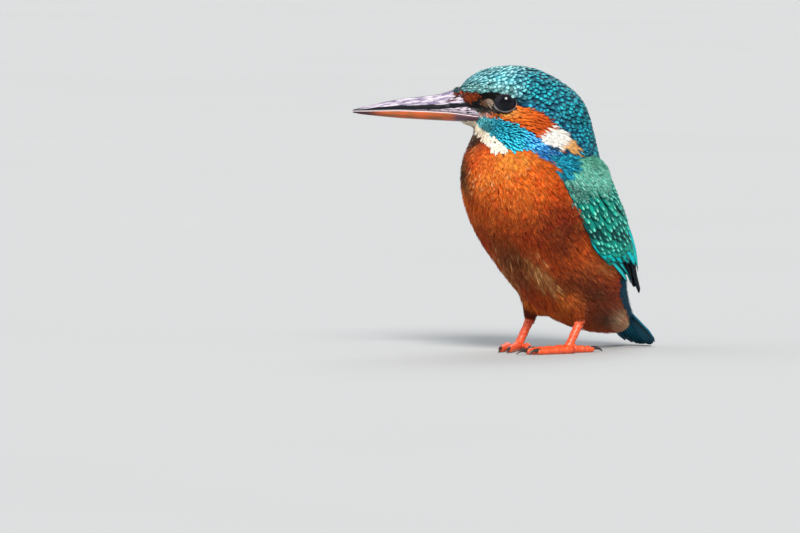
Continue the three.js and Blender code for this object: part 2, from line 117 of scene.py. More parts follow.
def smoothstep(x, low, high):
    t = np.clip((x - low) / (high - low), 0, 1)
    return t * t * (3 - 2 * t)


def unit(v):
    return v / (np.linalg.norm(v, axis=-1, keepdims=True) + 1e-12)


def dot(a, b):
    return (a * b).sum(-1)


def srgb(red, green, blue):
    c = np.array([red, green, blue]) / 255.0
    return np.where(c < 0.04045, c / 12.92, ((c + 0.055) / 1.055) ** 2.4)


def profile(keys, at):
    places, values = zip(*keys)
    return np.interp(at, places, values)


def smooth_keys(values, t):
    """Catmull-Rom through values at 0, 1, 2 ..., for an array of places t."""
    v = np.asarray(values, float)
    flat = v.ndim == 1
    v = v[:, None] if flat else v
    last = len(v) - 1
    i = np.clip(t.astype(int), 0, last - 1)
    u = (t - i)[:, None]
    b, c = v[i], v[i + 1]
    a = np.where((i == 0)[:, None], 2 * b - c, v[np.maximum(i - 1, 0)])
    d = np.where((i == last - 1)[:, None], 2 * c - b, v[np.minimum(i + 2, last)])
    out = 0.5 * (2 * b + (c - a) * u + (2 * a - 5 * b + 4 * c - d) * u**2 + (3 * b - a - 3 * c + d) * u**3)
    return out[:, 0] if flat else out


def outline_depth(f, k, corners):
    """How far inside an outline each place lies, negative outside it."""
    inside = np.zeros(f.shape, bool)
    near = np.full(f.shape, 1e9)
    for (f0, k0), (f1, k1) in zip(corners, corners[1:] + corners[:1]):
        crosses = (k0 > k) != (k1 > k)
        inside ^= crosses & (f < f0 + (k - k0) / ((k1 - k0) or 1e-9) * (f1 - f0))
        df, dk = f1 - f0, k1 - k0
        share = np.clip(((f - f0) * df + (k - k0) * dk) / (df * df + dk * dk), 0, 1)
        near = np.minimum(near, np.hypot(f - f0 - share * df, k - k0 - share * dk))
    return np.where(inside, near, -near)


def walk_along(points):
    """Distances along a line of points from its first."""
    return np.insert(np.cumsum(np.linalg.norm(np.diff(points, axis=0), axis=-1)), 0, 0)


def tree_of(points):
    tree = kdtree.KDTree(len(points))
    for i, point in enumerate(points):
        tree.insert(point, i)
    tree.balance()
    return tree


def loft_faces(rings, sides):
    """Quads between neighbouring closed rings of `sides` vertices each."""
    r, s = np.meshgrid(np.arange(rings - 1), np.arange(sides), indexing="ij")
    a, b = r * sides + s, r * sides + (s + 1) % sides
    return np.stack([a, b, b + sides, a + sides], -1).reshape(-1, 4)


def loops_of(faces):
    """The corners of all faces in a row; faces is a list of arrays, one for each number of corners."""
    return np.concatenate([group.ravel() for group in faces])


def unwrap(u, v):
    """Places on an unwrap whose unit square keeps a narrow margin, from shares across and along it."""
    return np.stack([0.01 + 0.98 * u, 0.01 + 0.98 * v], -1)


# ---------------------------------------------------------------- the rounded field of the body

def ellipsoid(p, centre, axes, radii):
    q = (p - centre) @ np.asarray(axes).T
    radii = np.asarray(radii, float)
    near = np.linalg.norm(q / radii, axis=-1)
    return near * (near - 1) / (np.linalg.norm(q / radii**2, axis=-1) + 1e-9)


def round_cone(p, start, end, start_radius, end_radius):
    start, end = np.asarray(start, float), np.asarray(end, float)
    length = np.linalg.norm(end - start)
    axis = (end - start) / length
    lean = (start_radius - end_radius) / length
    upright = math.sqrt(1 - lean * lean)
    offset = p - start
    along = offset @ axis
    aside = np.sqrt(np.maximum(dot(offset, offset) - along * along, 0))
    place = aside * -lean + along * upright
    return np.where(place < 0, np.hypot(aside, along) - start_radius,
                    np.where(place > length * upright, np.hypot(aside, along - length) - end_radius,
                             aside * upright + along * lean - start_radius))


def blend(a, b, width):
    near = np.maximum(width - np.abs(a - b), 0) / width
    return np.minimum(a, b) - near * near * width * 0.25


def body_ellipsoid(p, y, z, pitch, across, deep, long):
    a = math.radians(pitch)
    axes = [(1, 0, 0), (0, math.sin(a), math.cos(a)), (0, math.cos(a), -math.sin(a))]
    return ellipsoid(p, np.array([0, y, z]), axes, (across, deep, long))


def head_ellipsoid(p, f, k, long, across, high, tilt):
    a = math.radians(tilt)
    axes = [FORWARD * math.cos(a) + UP * math.sin(a), LEFT, UP * math.cos(a) - FORWARD * math.sin(a)]
    return ellipsoid(p, head(f, 0, k), axes, (long, across, high))


def head_field(p):
    aside = (p - BETWEEN_EYES) @ LEFT
    narrowed = p + (aside / FACE_NARROW - aside)[..., None] * LEFT
    face = FACE_NARROW * round_cone(narrowed, head(4.3, 0, 3), head(13, 0, -0.5), 5.5, 5.9)
    skull = blend(head_ellipsoid(p, **SKULL), head_ellipsoid(p, **NAPE), SKULL_BLEND)
    return blend(skull, face, FACE_BLEND)


def bird_field(p):
    trunk = blend(body_ellipsoid(p, **BREAST), body_ellipsoid(p, **VENT), TRUNK_BLEND)
    neck = round_cone(p, (0, -14.1, 60.9), head(-10.5, 0, -11.6), 19.6, 13.3)
    return blend(blend(trunk, neck, NECK_BLEND), head_field(p), HEAD_BLEND)


def wing_bed_field(p):
    return blend(bird_field(p), body_ellipsoid(p, **RUMP), RUMP_BLEND)


def slope(field, p, step=0.05):
    return np.stack([(field(p + move) - field(p - move)) / (2 * step) for move in np.eye(3) * step], -1)


def onto_field(field, p, height, passes=8):
    for _ in range(passes):
        g = slope(field, p)
        p = p + g * ((height - field(p)) / (dot(g, g) + 1e-9))[..., None]
    return p


# ---------------------------------------------------------------- a chart of the body's surface

# Rays leave the spine in planes that turn about the throat and then run down the trunk. Each key is
# the ray centre, how far the plane's normal points below the horizon, and its turn to her right.
SPINE = [
    (head(17.6, 0, -0.3), 0, 45), (head(15.5, 0, 0), 0, 45), (head(12, 0, 0), 6, 45),
    (head(8.5, 0, 0.5), 19, 45), (head(4, 0, 0), 38, 45), (head(-1, 0, -4), 54, 45),
    (head(-5, 0, -9), 65, 43), (head(-8, 0, -15), 68, 34),
    ((0, -14, 62), 62, 14), ((0, -12.3, 54), 53, 4), ((0, -9, 44), 48, 0), ((0, 2, 31), 44, 0),
    ((0, 12, 19), 34, 0), ((0, 28, 8), 25, 0),
]
SPINE_END = len(SPINE) - 1
CHART_ROWS, CHART_RAYS = 391, 300
RAY_STRIDE, RAY_HALVINGS = 0.7, 11
VIEW_SLANT = math.tan(math.radians(3))


class Chart:
    """A grid of surface points with its tangents and normals, read between its rows and columns."""

    def __init__(self, points, outward, wrap):
        self.rows, self.columns = points.shape[:2]
        self.wrap = wrap
        down = np.gradient(points, axis=0)
        if wrap:
            round_ = (np.roll(points, -1, 1) - np.roll(points, 1, 1)) / 2
        else:
            round_ = np.gradient(points, axis=1)
        normal = unit(np.cross(down, round_))
        normal *= np.sign(dot(normal, outward))[..., None]
        self.grid = np.concatenate([points, down, round_, normal], -1)

    def at(self, row, column):
        row = np.clip(row, 0, self.rows - 1.001)
        i = row.astype(int)
        u = (row - i)[:, None]
        if self.wrap:
            column = column % self.columns
        else:
            column = np.clip(column, 0, self.columns - 1.001)
        j = column.astype(int) % self.columns
        v = (column - np.floor(column))[:, None]
        j1 = (j + 1) % self.columns
        g = self.grid
        out = (g[i, j] * (1 - v) + g[i, j1] * v) * (1 - u) + (g[i + 1, j] * (1 - v) + g[i + 1, j1] * v) * u
        return out[:, :3], out[:, 3:6], out[:, 6:9], unit(out[:, 9:])

    def steer(self, row, column, way):
        """How far a step `way` across the surface moves in rows and columns."""
        _, down, round_, _ = self.at(row, column)
        a, b, c = dot(down, down), dot(down, round_), dot(round_, round_)
        p, q = dot(way, down), dot(way, round_)
        det = a * c - b * b + 1e-9
        return (p * c - q * b) / det, (q * a - p * b) / det


def body_chart():
    t = np.linspace(0, SPINE_END, CHART_ROWS)
    centre, pitch, turn = (smooth_keys(keys, t) for keys in zip(*SPINE))
    pitch, turn = np.radians(pitch), np.radians(turn)
    level = np.stack([np.sin(turn), np.cos(turn), 0 * turn], -1)
    left = np.stack([np.cos(turn), -np.sin(turn), 0 * turn], -1)
    dorsal = level * np.sin(pitch)[:, None] + UP * np.cos(pitch)[:, None]
    around = np.linspace(-math.pi, math.pi, CHART_RAYS, endpoint=False)
    way = left[:, None] * np.sin(around)[None, :, None] - dorsal[:, None] * np.cos(around)[None, :, None]
    centre = centre[:, None]
    far = np.zeros(way.shape[:2])
    inside = np.ones(way.shape[:2], bool)
    while inside.any():
        far[inside] += RAY_STRIDE
        at = np.where(inside)
        inside[at] = bird_field((centre + way * far[..., None])[at]) < 0
    near = far - RAY_STRIDE
    for _ in range(RAY_HALVINGS):
        middle = (near + far) / 2
        out = bird_field(centre + way * middle[..., None]) > 0
        far = np.where(out, middle, far)
        near = np.where(out, near, middle)
    return Chart(centre + way * near[..., None], way, True)


BODY = body_chart()


def body_place(row, column):
    """The spine place 0 .. SPINE_END and the angle about it (0 belly, 90 left, 180 back) of chart places."""
    return row * SPINE_END / (CHART_ROWS - 1), (column % CHART_RAYS) * 360 / CHART_RAYS - 180


def seen(row, column):
    """side_view of chart places on her left side, and of the mirrored places for her right side.

    The eye is taken from a little above: what lies nearer than the eyeball's front is seen lower.
    """
    _, angle = body_place(row, column)
    points = BODY.at(row, (np.abs(angle) + 180) * CHART_RAYS / 360)[0]
    f, k = side_view(points)
    return f, k - VIEW_SLANT * ((points - BETWEEN_EYES) @ LEFT - EYE_OUT - EYE_RADIUS)


# ---------------------------------------------------------------- the folded wings' surfaces

WING_ROWS, WING_COLUMNS = 111, 45


def wing_thickness(along, across):
    swell = np.sqrt(np.maximum(np.sin(math.pi * across), 0)) * np.minimum(1, 6 * along + 0.15)
    thick = WING_EDGE + (WING_MIDDLE - WING_EDGE) * swell
    return thick + (WING_TIP - thick) * smoothstep(along, 0.6, 1)


def curve_points(keys, share):
    """A three.js CatmullRomCurve3, the centripetal kind, read at shares of its key count."""
    v = np.asarray(keys, float)
    last = len(v) - 1
    v = np.concatenate([2 * v[:1] - v[1:2], v, 2 * v[-1:] - v[-2:-1]])
    t = share * last
    i = np.clip(np.floor(t).astype(int), 0, last - 1)
    u = (t - i)[:, None]
    a, b, c, d = v[i], v[i + 1], v[i + 2], v[i + 3]
    gaps = [np.linalg.norm(q - p, axis=-1, keepdims=True) ** 0.5 for p, q in ((a, b), (b, c), (c, d))]
    da, db, dc = gaps
    start = ((b - a) / da - (c - a) / (da + db) + (c - b) / db) * db
    stop = ((c - b) / db - (d - b) / (db + dc) + (d - c) / dc) * db
    return b + start * u + (-3 * b + 3 * c - 2 * start - stop) * u**2 + (2 * b - 2 * c + start + stop) * u**3


def wing_chart(side):
    along = np.linspace(0, 1, WING_ROWS)
    across = np.linspace(0, 1, WING_COLUMNS)
    mirror = np.array([side, 1, 1])
    lower = curve_points(WING_LOWER_EDGE, along)
    upper = curve_points(WING_UPPER_EDGE, along)
    start = lower[:, None] + (upper - lower)[:, None] * across[None, :, None]
    start[..., 0] += 4 * np.sin(math.pi * across)[None] * (1 - along)[:, None]
    start = start * mirror
    bed = onto_field(wing_bed_field, start, WING_CLEAR)
    outward = slope(wing_bed_field, bed)
    return Chart(bed, outward, False)


WINGS = {word: wing_chart(side) for word, side in SIDES.items()}

# The model's own origin is the bottom centre of its box: the eye says how far the bird's frame moved.
eye_low, eye_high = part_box("eye_left")
SHIFT = (np.array(eye_low) + np.array(eye_high)) / 2 / MM - head(0, EYE_OUT, EYE_UP)

# ---------------------------------------------------------------- meshes

def new_piece(name, verts, faces, material, nodes=()):
    """Makes a mesh object from points in the bird's frame and hides the solids that it stands in for."""
    mesh = bpy.data.meshes.new(name)
    verts = (np.asarray(verts, float) + SHIFT) * MM
    loops = loops_of(faces)
    totals = np.concatenate([np.full(len(group), group.shape[1]) for group in faces])
    mesh.vertices.add(len(verts))
    mesh.vertices.foreach_set("co", verts.astype(np.float32).ravel())
    mesh.loops.add(len(loops))
    mesh.loops.foreach_set("vertex_index", loops.astype(np.int32))
    mesh.polygons.add(len(totals))
    mesh.polygons.foreach_set("loop_start", (np.cumsum(totals) - totals).astype(np.int32))
    mesh.polygons.foreach_set("loop_total", totals.astype(np.int32))
    mesh.update(calc_edges=True)
    mesh.polygons.foreach_set("use_smooth", np.ones(len(totals), bool))
    mesh.update()
    piece = bpy.data.objects.new(name, mesh)
    bpy.context.scene.collection.objects.link(piece)
    piece.data.materials.append(material)
    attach(piece, "root")
    if nodes:
        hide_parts(*nodes)
    return piece


def store(piece, name, values):
    """Gives each vertex a number or a linear colour that materials read by name."""
    if values.ndim == 1:
        made = piece.data.attributes.new(name, "FLOAT", "POINT")
        made.data.foreach_set("value", values.astype(np.float32))
        return
    made = piece.data.color_attributes.new(name, "FLOAT_COLOR", "POINT")
    made.data.foreach_set("color", np.insert(values, 3, 1, axis=1).astype(np.float32).ravel())


# ---------------------------------------------------------------- materials

class Signal:
    """A number or colour that varies over a surface: the output of a shader node."""

    def __init__(self, graph, socket):
        self.graph, self.socket = graph, socket

    def maths(self, operation, *others):
        return self.graph.node("Math", enumerate((self, *others)), operation=operation)

    def __add__(self, other):
        return self.maths("ADD", other)

    def __sub__(self, other):
        return self.maths("SUBTRACT", other)

    def __mul__(self, other):
        return self.maths("MULTIPLY", other)

    def __rsub__(self, other):
        return self.graph.node("Math", ((0, other), (1, self)), operation="SUBTRACT")

    def ramp(self, low, high):
        """A smooth step from 0 at low to 1 at high."""
        inputs = ("Value", self), ("From Min", low), ("From Max", high), ("To Min", 0.0), ("To Max", 1.0)
        return self.graph.node("MapRange", inputs, "Result", interpolation_type="SMOOTHSTEP")

    def band(self, low, high, soft):
        return self.ramp(low - soft, low + soft) * (1.0 - self.ramp(high - soft, high + soft))


class Graph:
    """The nodes of one material."""

    def __init__(self, tree, sockets):
        self.tree, self.sockets = tree, sockets

    def put(self, value, socket):
        if isinstance(value, Signal):
            self.tree.links.new(value.socket, socket)
        elif isinstance(value, (int, float)):
            socket.default_value = value
        else:
            socket.default_value = (*value, 1)[: len(socket.default_value)]

    def node(self, kind, inputs=(), out=0, **settings):
        """Adds a node with (socket, value) inputs and returns one of its outputs."""
        made = self.tree.nodes.new("ShaderNode" + kind)
        for name, value in settings.items():
            setattr(made, name, value)
        for socket, value in inputs:
            self.put(value, made.inputs[socket])
        return Signal(self, made.outputs[out])

    def mix(self, factor, a, b, kind="MIX"):
        return self.node("Mix", ((0, factor), (6, a), (7, b)), 2, data_type="RGBA", blend_type=kind)

    def attribute(self, name, out="Color"):
        return self.node("Attribute", out=out, attribute_name=name)

    def place(self):
        return self.node("TexCoord", out="Object")

    def noise(self, scale, place, detail=2.0):
        return self.node("TexNoise", (("Scale", scale), ("Detail", detail), ("Vector", place)), "Fac")

    def stretch(self, place, scale):
        return self.node("Mapping", (("Scale", scale), ("Vector", place)), "Vector")

    def bump(self, height, strength, distance):
        inputs = ("Strength", strength), ("Distance", distance), ("Height", height)
        return self.node("Bump", inputs, "Normal")

    def finish(self, **values):
        """Wires signals to the shader, its sockets named with underscores for spaces."""
        for name, value in values.items():
            self.put(value, self.sockets[name.replace("_", " ")])


def material(name, build, roughness=0.5, specular=0.5, coat=0.0, coat_roughness=0.1, sheen=0.0):
    """A Principled material; build(graph) makes its colour, roughness and bump."""
    made = bpy.data.materials.new(name)
    made.use_nodes = True
    sockets = made.node_tree.nodes["Principled BSDF"].inputs
    values = {"Roughness": roughness, "Specular IOR Level": specular, "Coat Weight": coat,
              "Coat Roughness": coat_roughness, "Sheen Weight": sheen, "Sheen Roughness": 0.4}
    for socket, value in values.items():
        sockets[socket].default_value = value
    build(Graph(made.node_tree, sockets))
    return made


def feather_material(name, bar=None, spot=None, edge=0.0, rim=0.0, streak=0.0, tip_dark=0.0, root_dark=0.25,
                     sheen=0.0, roughness=0.5, specular=0.14, barb=60.0, grain=0.5):
    """Feathers coloured by their own "ground" and "mark" colours.

    bar and spot are (low, high, half width) of the bright mark as shares of the vane, edge is the share
    of the half width that the bright rim takes up. The other marks are strengths from 0 to 1.
    """
    def build(graph):
        vane = graph.node("UVMap", uv_map="Vane")
        aside = (graph.node("SeparateXYZ", ((0, vane),), "X") * 2.0 - 1.0).maths("ABSOLUTE")
        along = graph.node("SeparateXYZ", ((0, vane),), "Y")
        colour, mark = graph.attribute("ground"), graph.attribute("mark")
        place = graph.place()
        if rim:
            border = aside.ramp(0.62, 0.98).maths("MAXIMUM", along.ramp(0.93, 1.0))
            colour = graph.mix(border * rim, colour, (0.002, 0.012, 0.014))
        if bar:
            low, high, half = bar
            blotch = graph.noise(1300.0, place) - 0.5
            ragged = aside + blotch * 1.1
            inside = 1.0 - ragged.ramp(half - 0.15, half + 0.15)
            colour = graph.mix((along + blotch * 0.3).band(low, high, 0.05) * inside, colour, mark)
        if spot:
            low, high, half = spot
            taper = along.ramp(low - 0.05, high) * half
            inside = 1.0 - (aside - taper).ramp(-0.08, 0.08)
            colour = graph.mix(along.band(low, high, 0.06) * inside, colour, mark)
        if streak:
            shafts = graph.noise(1400.0, place).ramp(0.42, 0.62)
            colour = graph.mix(along.ramp(0.35, 0.8) * shafts * streak, colour, mark)
        if edge:
            colour = graph.mix(aside.ramp(1 - edge - 0.12, 1 - edge + 0.12), colour, mark)
        if tip_dark:
            colour = graph.mix(along.ramp(0.86, 0.99) * tip_dark, colour, (0.004, 0.006, 0.007))
        barbs = (along * barb + aside * (barb * -0.55)).maths("SINE")
        fine = graph.noise(3500.0, place, 1.0)
        lit = along.ramp(0.0, 0.75) * root_dark + (1.0 - root_dark)
        bright = lit * (barbs * 0.06 + (fine - 0.5) * grain + 1.0)
        grey = graph.node("CombineColor", [(channel, bright) for channel in range(3)])
        graph.finish(Base_Color=graph.mix(1.0, colour, grey, "MULTIPLY"),
                     Normal=graph.bump(barbs * 0.5 + fine, 0.35, 0.00006))

    return material(name, build, roughness, specular, sheen=sheen)


# ---------------------------------------------------------------- feathers

random = np.random.default_rng(SEED)


def pressed(way, normal):
    """Unit ways along the surface, nearest to the given ones."""
    return unit(way - normal * dot(way, normal)[:, None])


def comb(chart, row, column, length, aim, height, steps=6):
    """Feather mid-lines over a chart: centres, normals and sides at steps + 1 stations.

    aim(point, down, normal, row, column) is the unit way that a feather runs at a place, and
    height(row, column, share) is how far off the chart it lies there.
    """
    stations = []
    for step in range(steps + 1):
        point, down, _, normal = chart.at(row, column)
        way = aim(point, down, normal, row, column)
        off = height(row, column, step / steps)
        stations.append((point + normal * off[:, None], normal, np.cross(way, normal)))
        d_row, d_column = chart.steer(row, column, way * (length / steps)[:, None])
        row, column = row + d_row, column + d_column
    return [np.stack(parts, 1) for parts in zip(*stations)]


def laid(chart, row, column, length, lay, turn, under, over):
    """Mid-lines that follow lay, turned aside by angles, from `under` below the chart to `over` above it."""
    def aim(point, down, normal, row, column):
        way = pressed(lay(point, row, column), normal)
        return way * np.cos(turn)[:, None] + np.cross(way, normal) * np.sin(turn)[:, None]

    def height(row, column, share):
        return over * share - under * (1 - share) ** 1.15

    return comb(chart, row, column, length, aim, height)


def sideways_sag(chart, row, column, side, width):
    """How far the surface drops beside a place, per square millimetre of sideways distance."""
    point, _, _, normal = chart.at(row, column)
    drop = 0
    for sign in (-1, 1):
        d_row, d_column = chart.steer(row, column, side * (sign * width)[:, None])
        beside = chart.at(row + d_row, column + d_column)[0]
        drop = drop - dot(beside - point, normal)
    return np.clip(drop / 2 / width**2, -0.01, 0.12)


VANE_STATIONS = np.array([0.0, 0.2, 0.42, 0.62, 0.79, 0.92, 1.0])
VANE_ROUND = np.array([0.35, 0.72, 0.93, 1.0, 0.92, 0.66, 0.16])
VANE_LONG = np.array([0.45, 0.85, 1.0, 1.0, 0.94, 0.72, 0.2])
VANE_SECTION_X = np.array([-1.0, -0.55, 0.0, 0.55, 1.0, 0.0])
VANE_SECTION_Z = np.array([0.0, 0.75, 1.0, 0.75, 0.0, -0.5])


def vane_template(widths):
    """t, x (in half widths), z (in thicknesses) of one vane's vertices, and its faces."""
    rings, ring = len(VANE_STATIONS), len(VANE_SECTION_X)
    fade = np.interp(VANE_STATIONS, [0, 0.6, 1], [1, 1, 0.45])
    cap = np.array([(0, c, c + 1) for c in range(1, ring - 1)])
    return dict(t=np.repeat(VANE_STATIONS, ring), x=np.outer(widths, VANE_SECTION_X).ravel(),
                z=np.outer(fade, VANE_SECTION_Z).ravel(), across=np.tile(VANE_SECTION_X, rings),
                quads=loft_faces(rings, ring), tris=np.concatenate([cap[:, ::-1], cap + (rings - 1) * ring]))


BLADE_RINGS = np.array([0.04, 0.32, 0.58, 0.82])
BLADE_WIDTHS = np.array([0.55, 1.0, 0.85, 0.5])
BLADE_SECTION_X = np.array([-1.0, 1.0, 0.0])
BLADE_SECTION_Z = np.array([0.0, 0.0, 1.0])
BLADE_OVERLAP, BLADE_SPLAY = 1.35, 0.9


def fan_template(blades):
    """A tuft of narrow three-sided blades from one root; also the blade each vertex belongs to."""
    rings = len(BLADE_RINGS)
    t = np.append(np.repeat(BLADE_RINGS, 3), 1.0)
    z = np.append(np.tile(BLADE_SECTION_Z, rings), 0.3)
    across = np.append(np.tile(BLADE_SECTION_X, rings), 0)
    half = np.append(np.outer(BLADE_WIDTHS, BLADE_SECTION_X), 0) * BLADE_OVERLAP / blades
    last = 3 * (rings - 1)
    tris = np.array([(2, 1, 0)] + [(last + c, last + (c + 1) % 3, last + 3) for c in range(3)])
    middle = ((np.arange(blades) + 0.5) / blades * 2 - 1) * BLADE_SPLAY
    first = np.arange(blades)[:, None, None] * len(t)
    return dict(t=np.tile(t, blades), z=np.tile(z, blades), across=np.tile(across, blades),
                half=np.tile(half, blades), mid=np.repeat(middle, len(t)),
                blade_of=np.repeat(np.arange(blades), len(t)),
                quads=(loft_faces(rings, 3) + first).reshape(-1, 4), tris=(tris + first).reshape(-1, 3))


VANE = vane_template(VANE_ROUND)
LONG_VANE = vane_template(VANE_LONG)
FANS = {count: fan_template(count) for count in (5, 7, 9)}


def read_line(stations, share):
    """Values of (N, steps + 1, ...) arrays at shares (N, V) of the way along."""
    steps = stations.shape[1] - 1
    t = np.clip(share, 0, 1.12) * steps
    i = np.clip(t.astype(int), 0, steps - 1)
    u = (t - i)[..., None]
    rows = np.arange(len(stations))[:, None]
    return stations[rows, i] * (1 - u) + stations[rows, i + 1] * u


class Coat:
    """Feathers gathered for one piece."""

    BAKE_REACH = 0.0015

    def __init__(self):
        self.parts = []

    def add(self, template, lines, width, thick, sag, bake, ground, mark, rough=0.0, vary=0.09):
        """lines: centres, normals, sides. width, thick, sag: (N,). bake: (N, 2) root places in 0..1."""
        count, verts = len(width), len(template["t"])
        t = np.tile(template["t"], (count, 1))
        shade = np.ones((count, verts))
        if "mid" in template:
            who = template["blade_of"]
            size = (count, who[-1] + 1)
            reach = 1 - 0.22 * np.linspace(-1, 1, size[1]) ** 2 + random.normal(0, 0.09, size)
            t = t * np.clip(reach, 0.45, 1.15)[:, who]
            wander = random.normal(0, 0.16 + rough, size)[:, who]
            x = (template["mid"] + wander) * np.clip(t, 0, 1) ** 0.75 + template["mid"] * 0.15
            x = x + template["half"] * random.uniform(0.75, 1.3, size)[:, who]
            rise = random.normal(0, 0.10 + rough * 0.5, size)[:, who] * t * t
            z = template["z"] * thick[:, None] + rise
            shade = random.normal(1, 0.04 + vary, size)[:, who]
        else:
            x = np.tile(template["x"], (count, 1))
            z = template["z"] * thick[:, None]
        centre, normal, side = (read_line(part, t) for part in lines)
        aside = x * width[:, None]
        up = z - sag[:, None] * aside**2
        points = centre + unit(side) * aside[..., None] + unit(normal) * up[..., None]
        patch = np.stack([np.clip(x, -1, 1), np.clip(t, 0, 1) * 2 - 1], -1)
        vane = np.stack([np.tile(template["across"], (count, 1)) * 0.5 + 0.5, np.clip(t, 0, 1)], -1)
        shade = (random.normal(1, vary, count)[:, None] * shade)[..., None]
        ground, mark = (np.clip(colour[:, None] * shade, 0, 1) for colour in (ground, mark))
        joined = dict(points=points, OFBake=bake[:, None] + self.BAKE_REACH * patch, Vane=vane, ground=ground,
                      mark=mark)
        part = {key: value.reshape(-1, value.shape[-1]) for key, value in joined.items()}
        first = np.arange(count)[:, None, None] * verts
        for key in ("quads", "tris"):
            part[key] = (template[key] + first).reshape(-1, template[key].shape[1])
        self.parts.append(part)

    def piece(self, name, made_of, slot, nodes=()):
        base = 0
        for part in self.parts:
            part["quads"] += base
            part["tris"] += base
            base += len(part["points"])
        joined = {key: np.concatenate([part[key] for part in self.parts]) for key in self.parts[0]}
        faces = [joined["quads"], joined["tris"]]
        piece = new_piece(name, joined["points"], faces, made_of, nodes)
        loops = loops_of(faces)
        for layer in ("OFBake", "Vane"):
            made = piece.data.uv_layers.new(name=layer)
            made.data.foreach_set("uv", joined[layer][loops].astype(np.float32).ravel())
        piece.data.uv_layers["OFBake"].active_render = True
        for key in ("ground", "mark"):
            store(piece, key, joined[key])


def thin_out(points, reach):
    """Keeps points, in their order, that have no kept neighbour within their own reach."""
    tree = tree_of(points)
    kept, gone = np.zeros((2, len(points)), bool)
    for i, point in enumerate(points):
        if gone[i]:
            continue
        kept[i] = True
        for _, j, _ in tree.find_range(point, reach[i]):
            gone[j] = True
    return kept


# ---------------------------------------------------------------- plumage of head and body

WHITE = srgb(255, 251, 243)
ORANGE = srgb(246, 112, 16)
RUFOUS = srgb(206, 76, 12)
CHESTNUT = srgb(120, 44, 12)
BLACK = srgb(20, 17, 16)
BEAK_ROOT = head(17, 0, 6)

# Outlines of the head's markings as side_view places.
EAR = [(2.8, -2.7), (0.9, -2.5), (-0.3, -2.1), (-2.7, -1.8), (-4, -0.8), (-6.6, -0.2), (-9.7, -0.9),
       (-12.8, -1.9), (-15.9, -3.8), (-18.3, -6.3), (-16.3, -7.8), (-14, -8.6), (-12.8, -10.2), (-12, -11),
       (-9.7, -9.8), (-6.6, -7.4), (-3.4, -5.5), (-1.1, -4.7), (1.3, -4.3), (2.8, -3.8)]
NECK_WHITE = [(-12.2, -10.6), (-13.8, -8.8), (-16.8, -7.7), (-18.4, -6.4), (-20.4, -7.3), (-23.2, -10),
              (-26, -13.8), (-28, -18), (-26.3, -17.7), (-22.8, -15.9), (-18.6, -14.9), (-15.4, -14),
              (-13, -12.4)]
# A painted shadow beneath the white neck patch.
WHITE_SHADOW = [(-13, -12.2), (-15.4, -13.8), (-18.6, -14.7), (-22.8, -15.8), (-26.3, -17.5), (-28, -19.5),
                (-22.8, -17.3), (-18.6, -16), (-15, -15)]
MALAR = [(11, -4), (6, -4.1), (2.5, -4.2), (-1.1, -4.9), (-3.4, -5.8), (-6.6, -7.7), (-9.7, -10.1),
         (-12, -11.3), (-15.4, -13.9), (-20, -16.4), (-22, -19.5), (-17, -19.5), (-15.2, -19.2),
         (-11.6, -17.4), (-8.9, -15.3), (-5.4, -15.4), (-2.6, -16.2), (-0.2, -14.6), (4.2, -10.6),
         (8.7, -7.6)]
SHOULDER = [(-16.2, -18.6), (-17, -17), (-20.5, -16.1), (-24.6, -17.4), (-25, -21.5), (-23, -24.9),
            (-20.2, -26.3), (-18.2, -24.4), (-17, -20.6)]
THROAT = [(18.5, -4), (9, -4.4), (4.3, -8), (-2, -13), (-0.9, -15.4), (-0.6, -16.2), (1.2, -17), (3.2, -16.4),
          (5.2, -15.2), (6.6, -13.6), (7.6, -12.2), (9, -10.6), (11, -9), (18.5, -7)]
CROWN_EDGE = [(30, 7), (16.7, 4.6), (14.2, 4.9), (9.3, 4.3), (7, 4.2), (3.6, 3.6), (1, 3.4), (-2.4, 2.4),
              (-3.4, 0.6), (-4, -0.9), (-6.6, -0.8), (-9.7, -1.5), (-12.8, -2.5), (-15.9, -4.4),
              (-18.2, -6.6), (-20.2, -8.2), (-22.8, -10.9), (-25.6, -14.6), (-28.2, -18), (-29, -19.4),
              (-60, -19.4), (-60, 40), (30, 40)]
SUPRALORAL = [(18, 4.2), (15.2, 3.8), (13.6, 4), (11.5, 4.7), (10.1, 4.5), (8.3, 3.8), (7.5, 2.8), (8.9, 1.9),
              (10.5, 1.3), (12.4, 1), (14.4, 1.3), (15.8, 2.1), (18, 3)]
LORE_BLACK = [(8.6, 3.9), (7, 4.6), (2, 4.6), (2, 1.5), (4, 1.5), (5.4, 2), (7, 2), (9, 1.8)]
LORE_BUFF = [(8.4, 1.2), (7, 2), (5.4, 2), (3.8, 1.5), (3, 0.4), (3.4, -0.7), (5.4, -0.8), (6.8, -0.4),
             (8, 0.2)]
LORE_DARK = [(19, 4), (12, 2), (8, 2.4), (2, 2), (1.5, -1.4), (-1, -2.2), (0.6, -2.9), (3, -2.9), (6, -2.7),
             (10, -2.5), (14, -2)]
GAPE = [(11, -2.5), (6, -2.7), (3, -2.9), (0.6, -2.8), (-0.2, -3.6), (2.8, -4.3), (6, -4.2), (11, -4.2)]
# The outline of the scapulars, on the trunk.
SCAPULARS = [(-20.5, -17), (-31, -12), (-40, -18), (-46, -33), (-37, -35.5), (-32, -30.8), (-28, -29.4),
             (-25, -33), (-23.4, -34), (-19.4, -26), (-21, -22)]


def mix_in(colour, *layers):
    """A colour, or one for each place, with each layer's paint mixed in by its weight from 0 to 1."""
    for paint, weight in layers:
        colour = colour + (paint - colour) * np.asarray(weight)[..., None]
    return colour


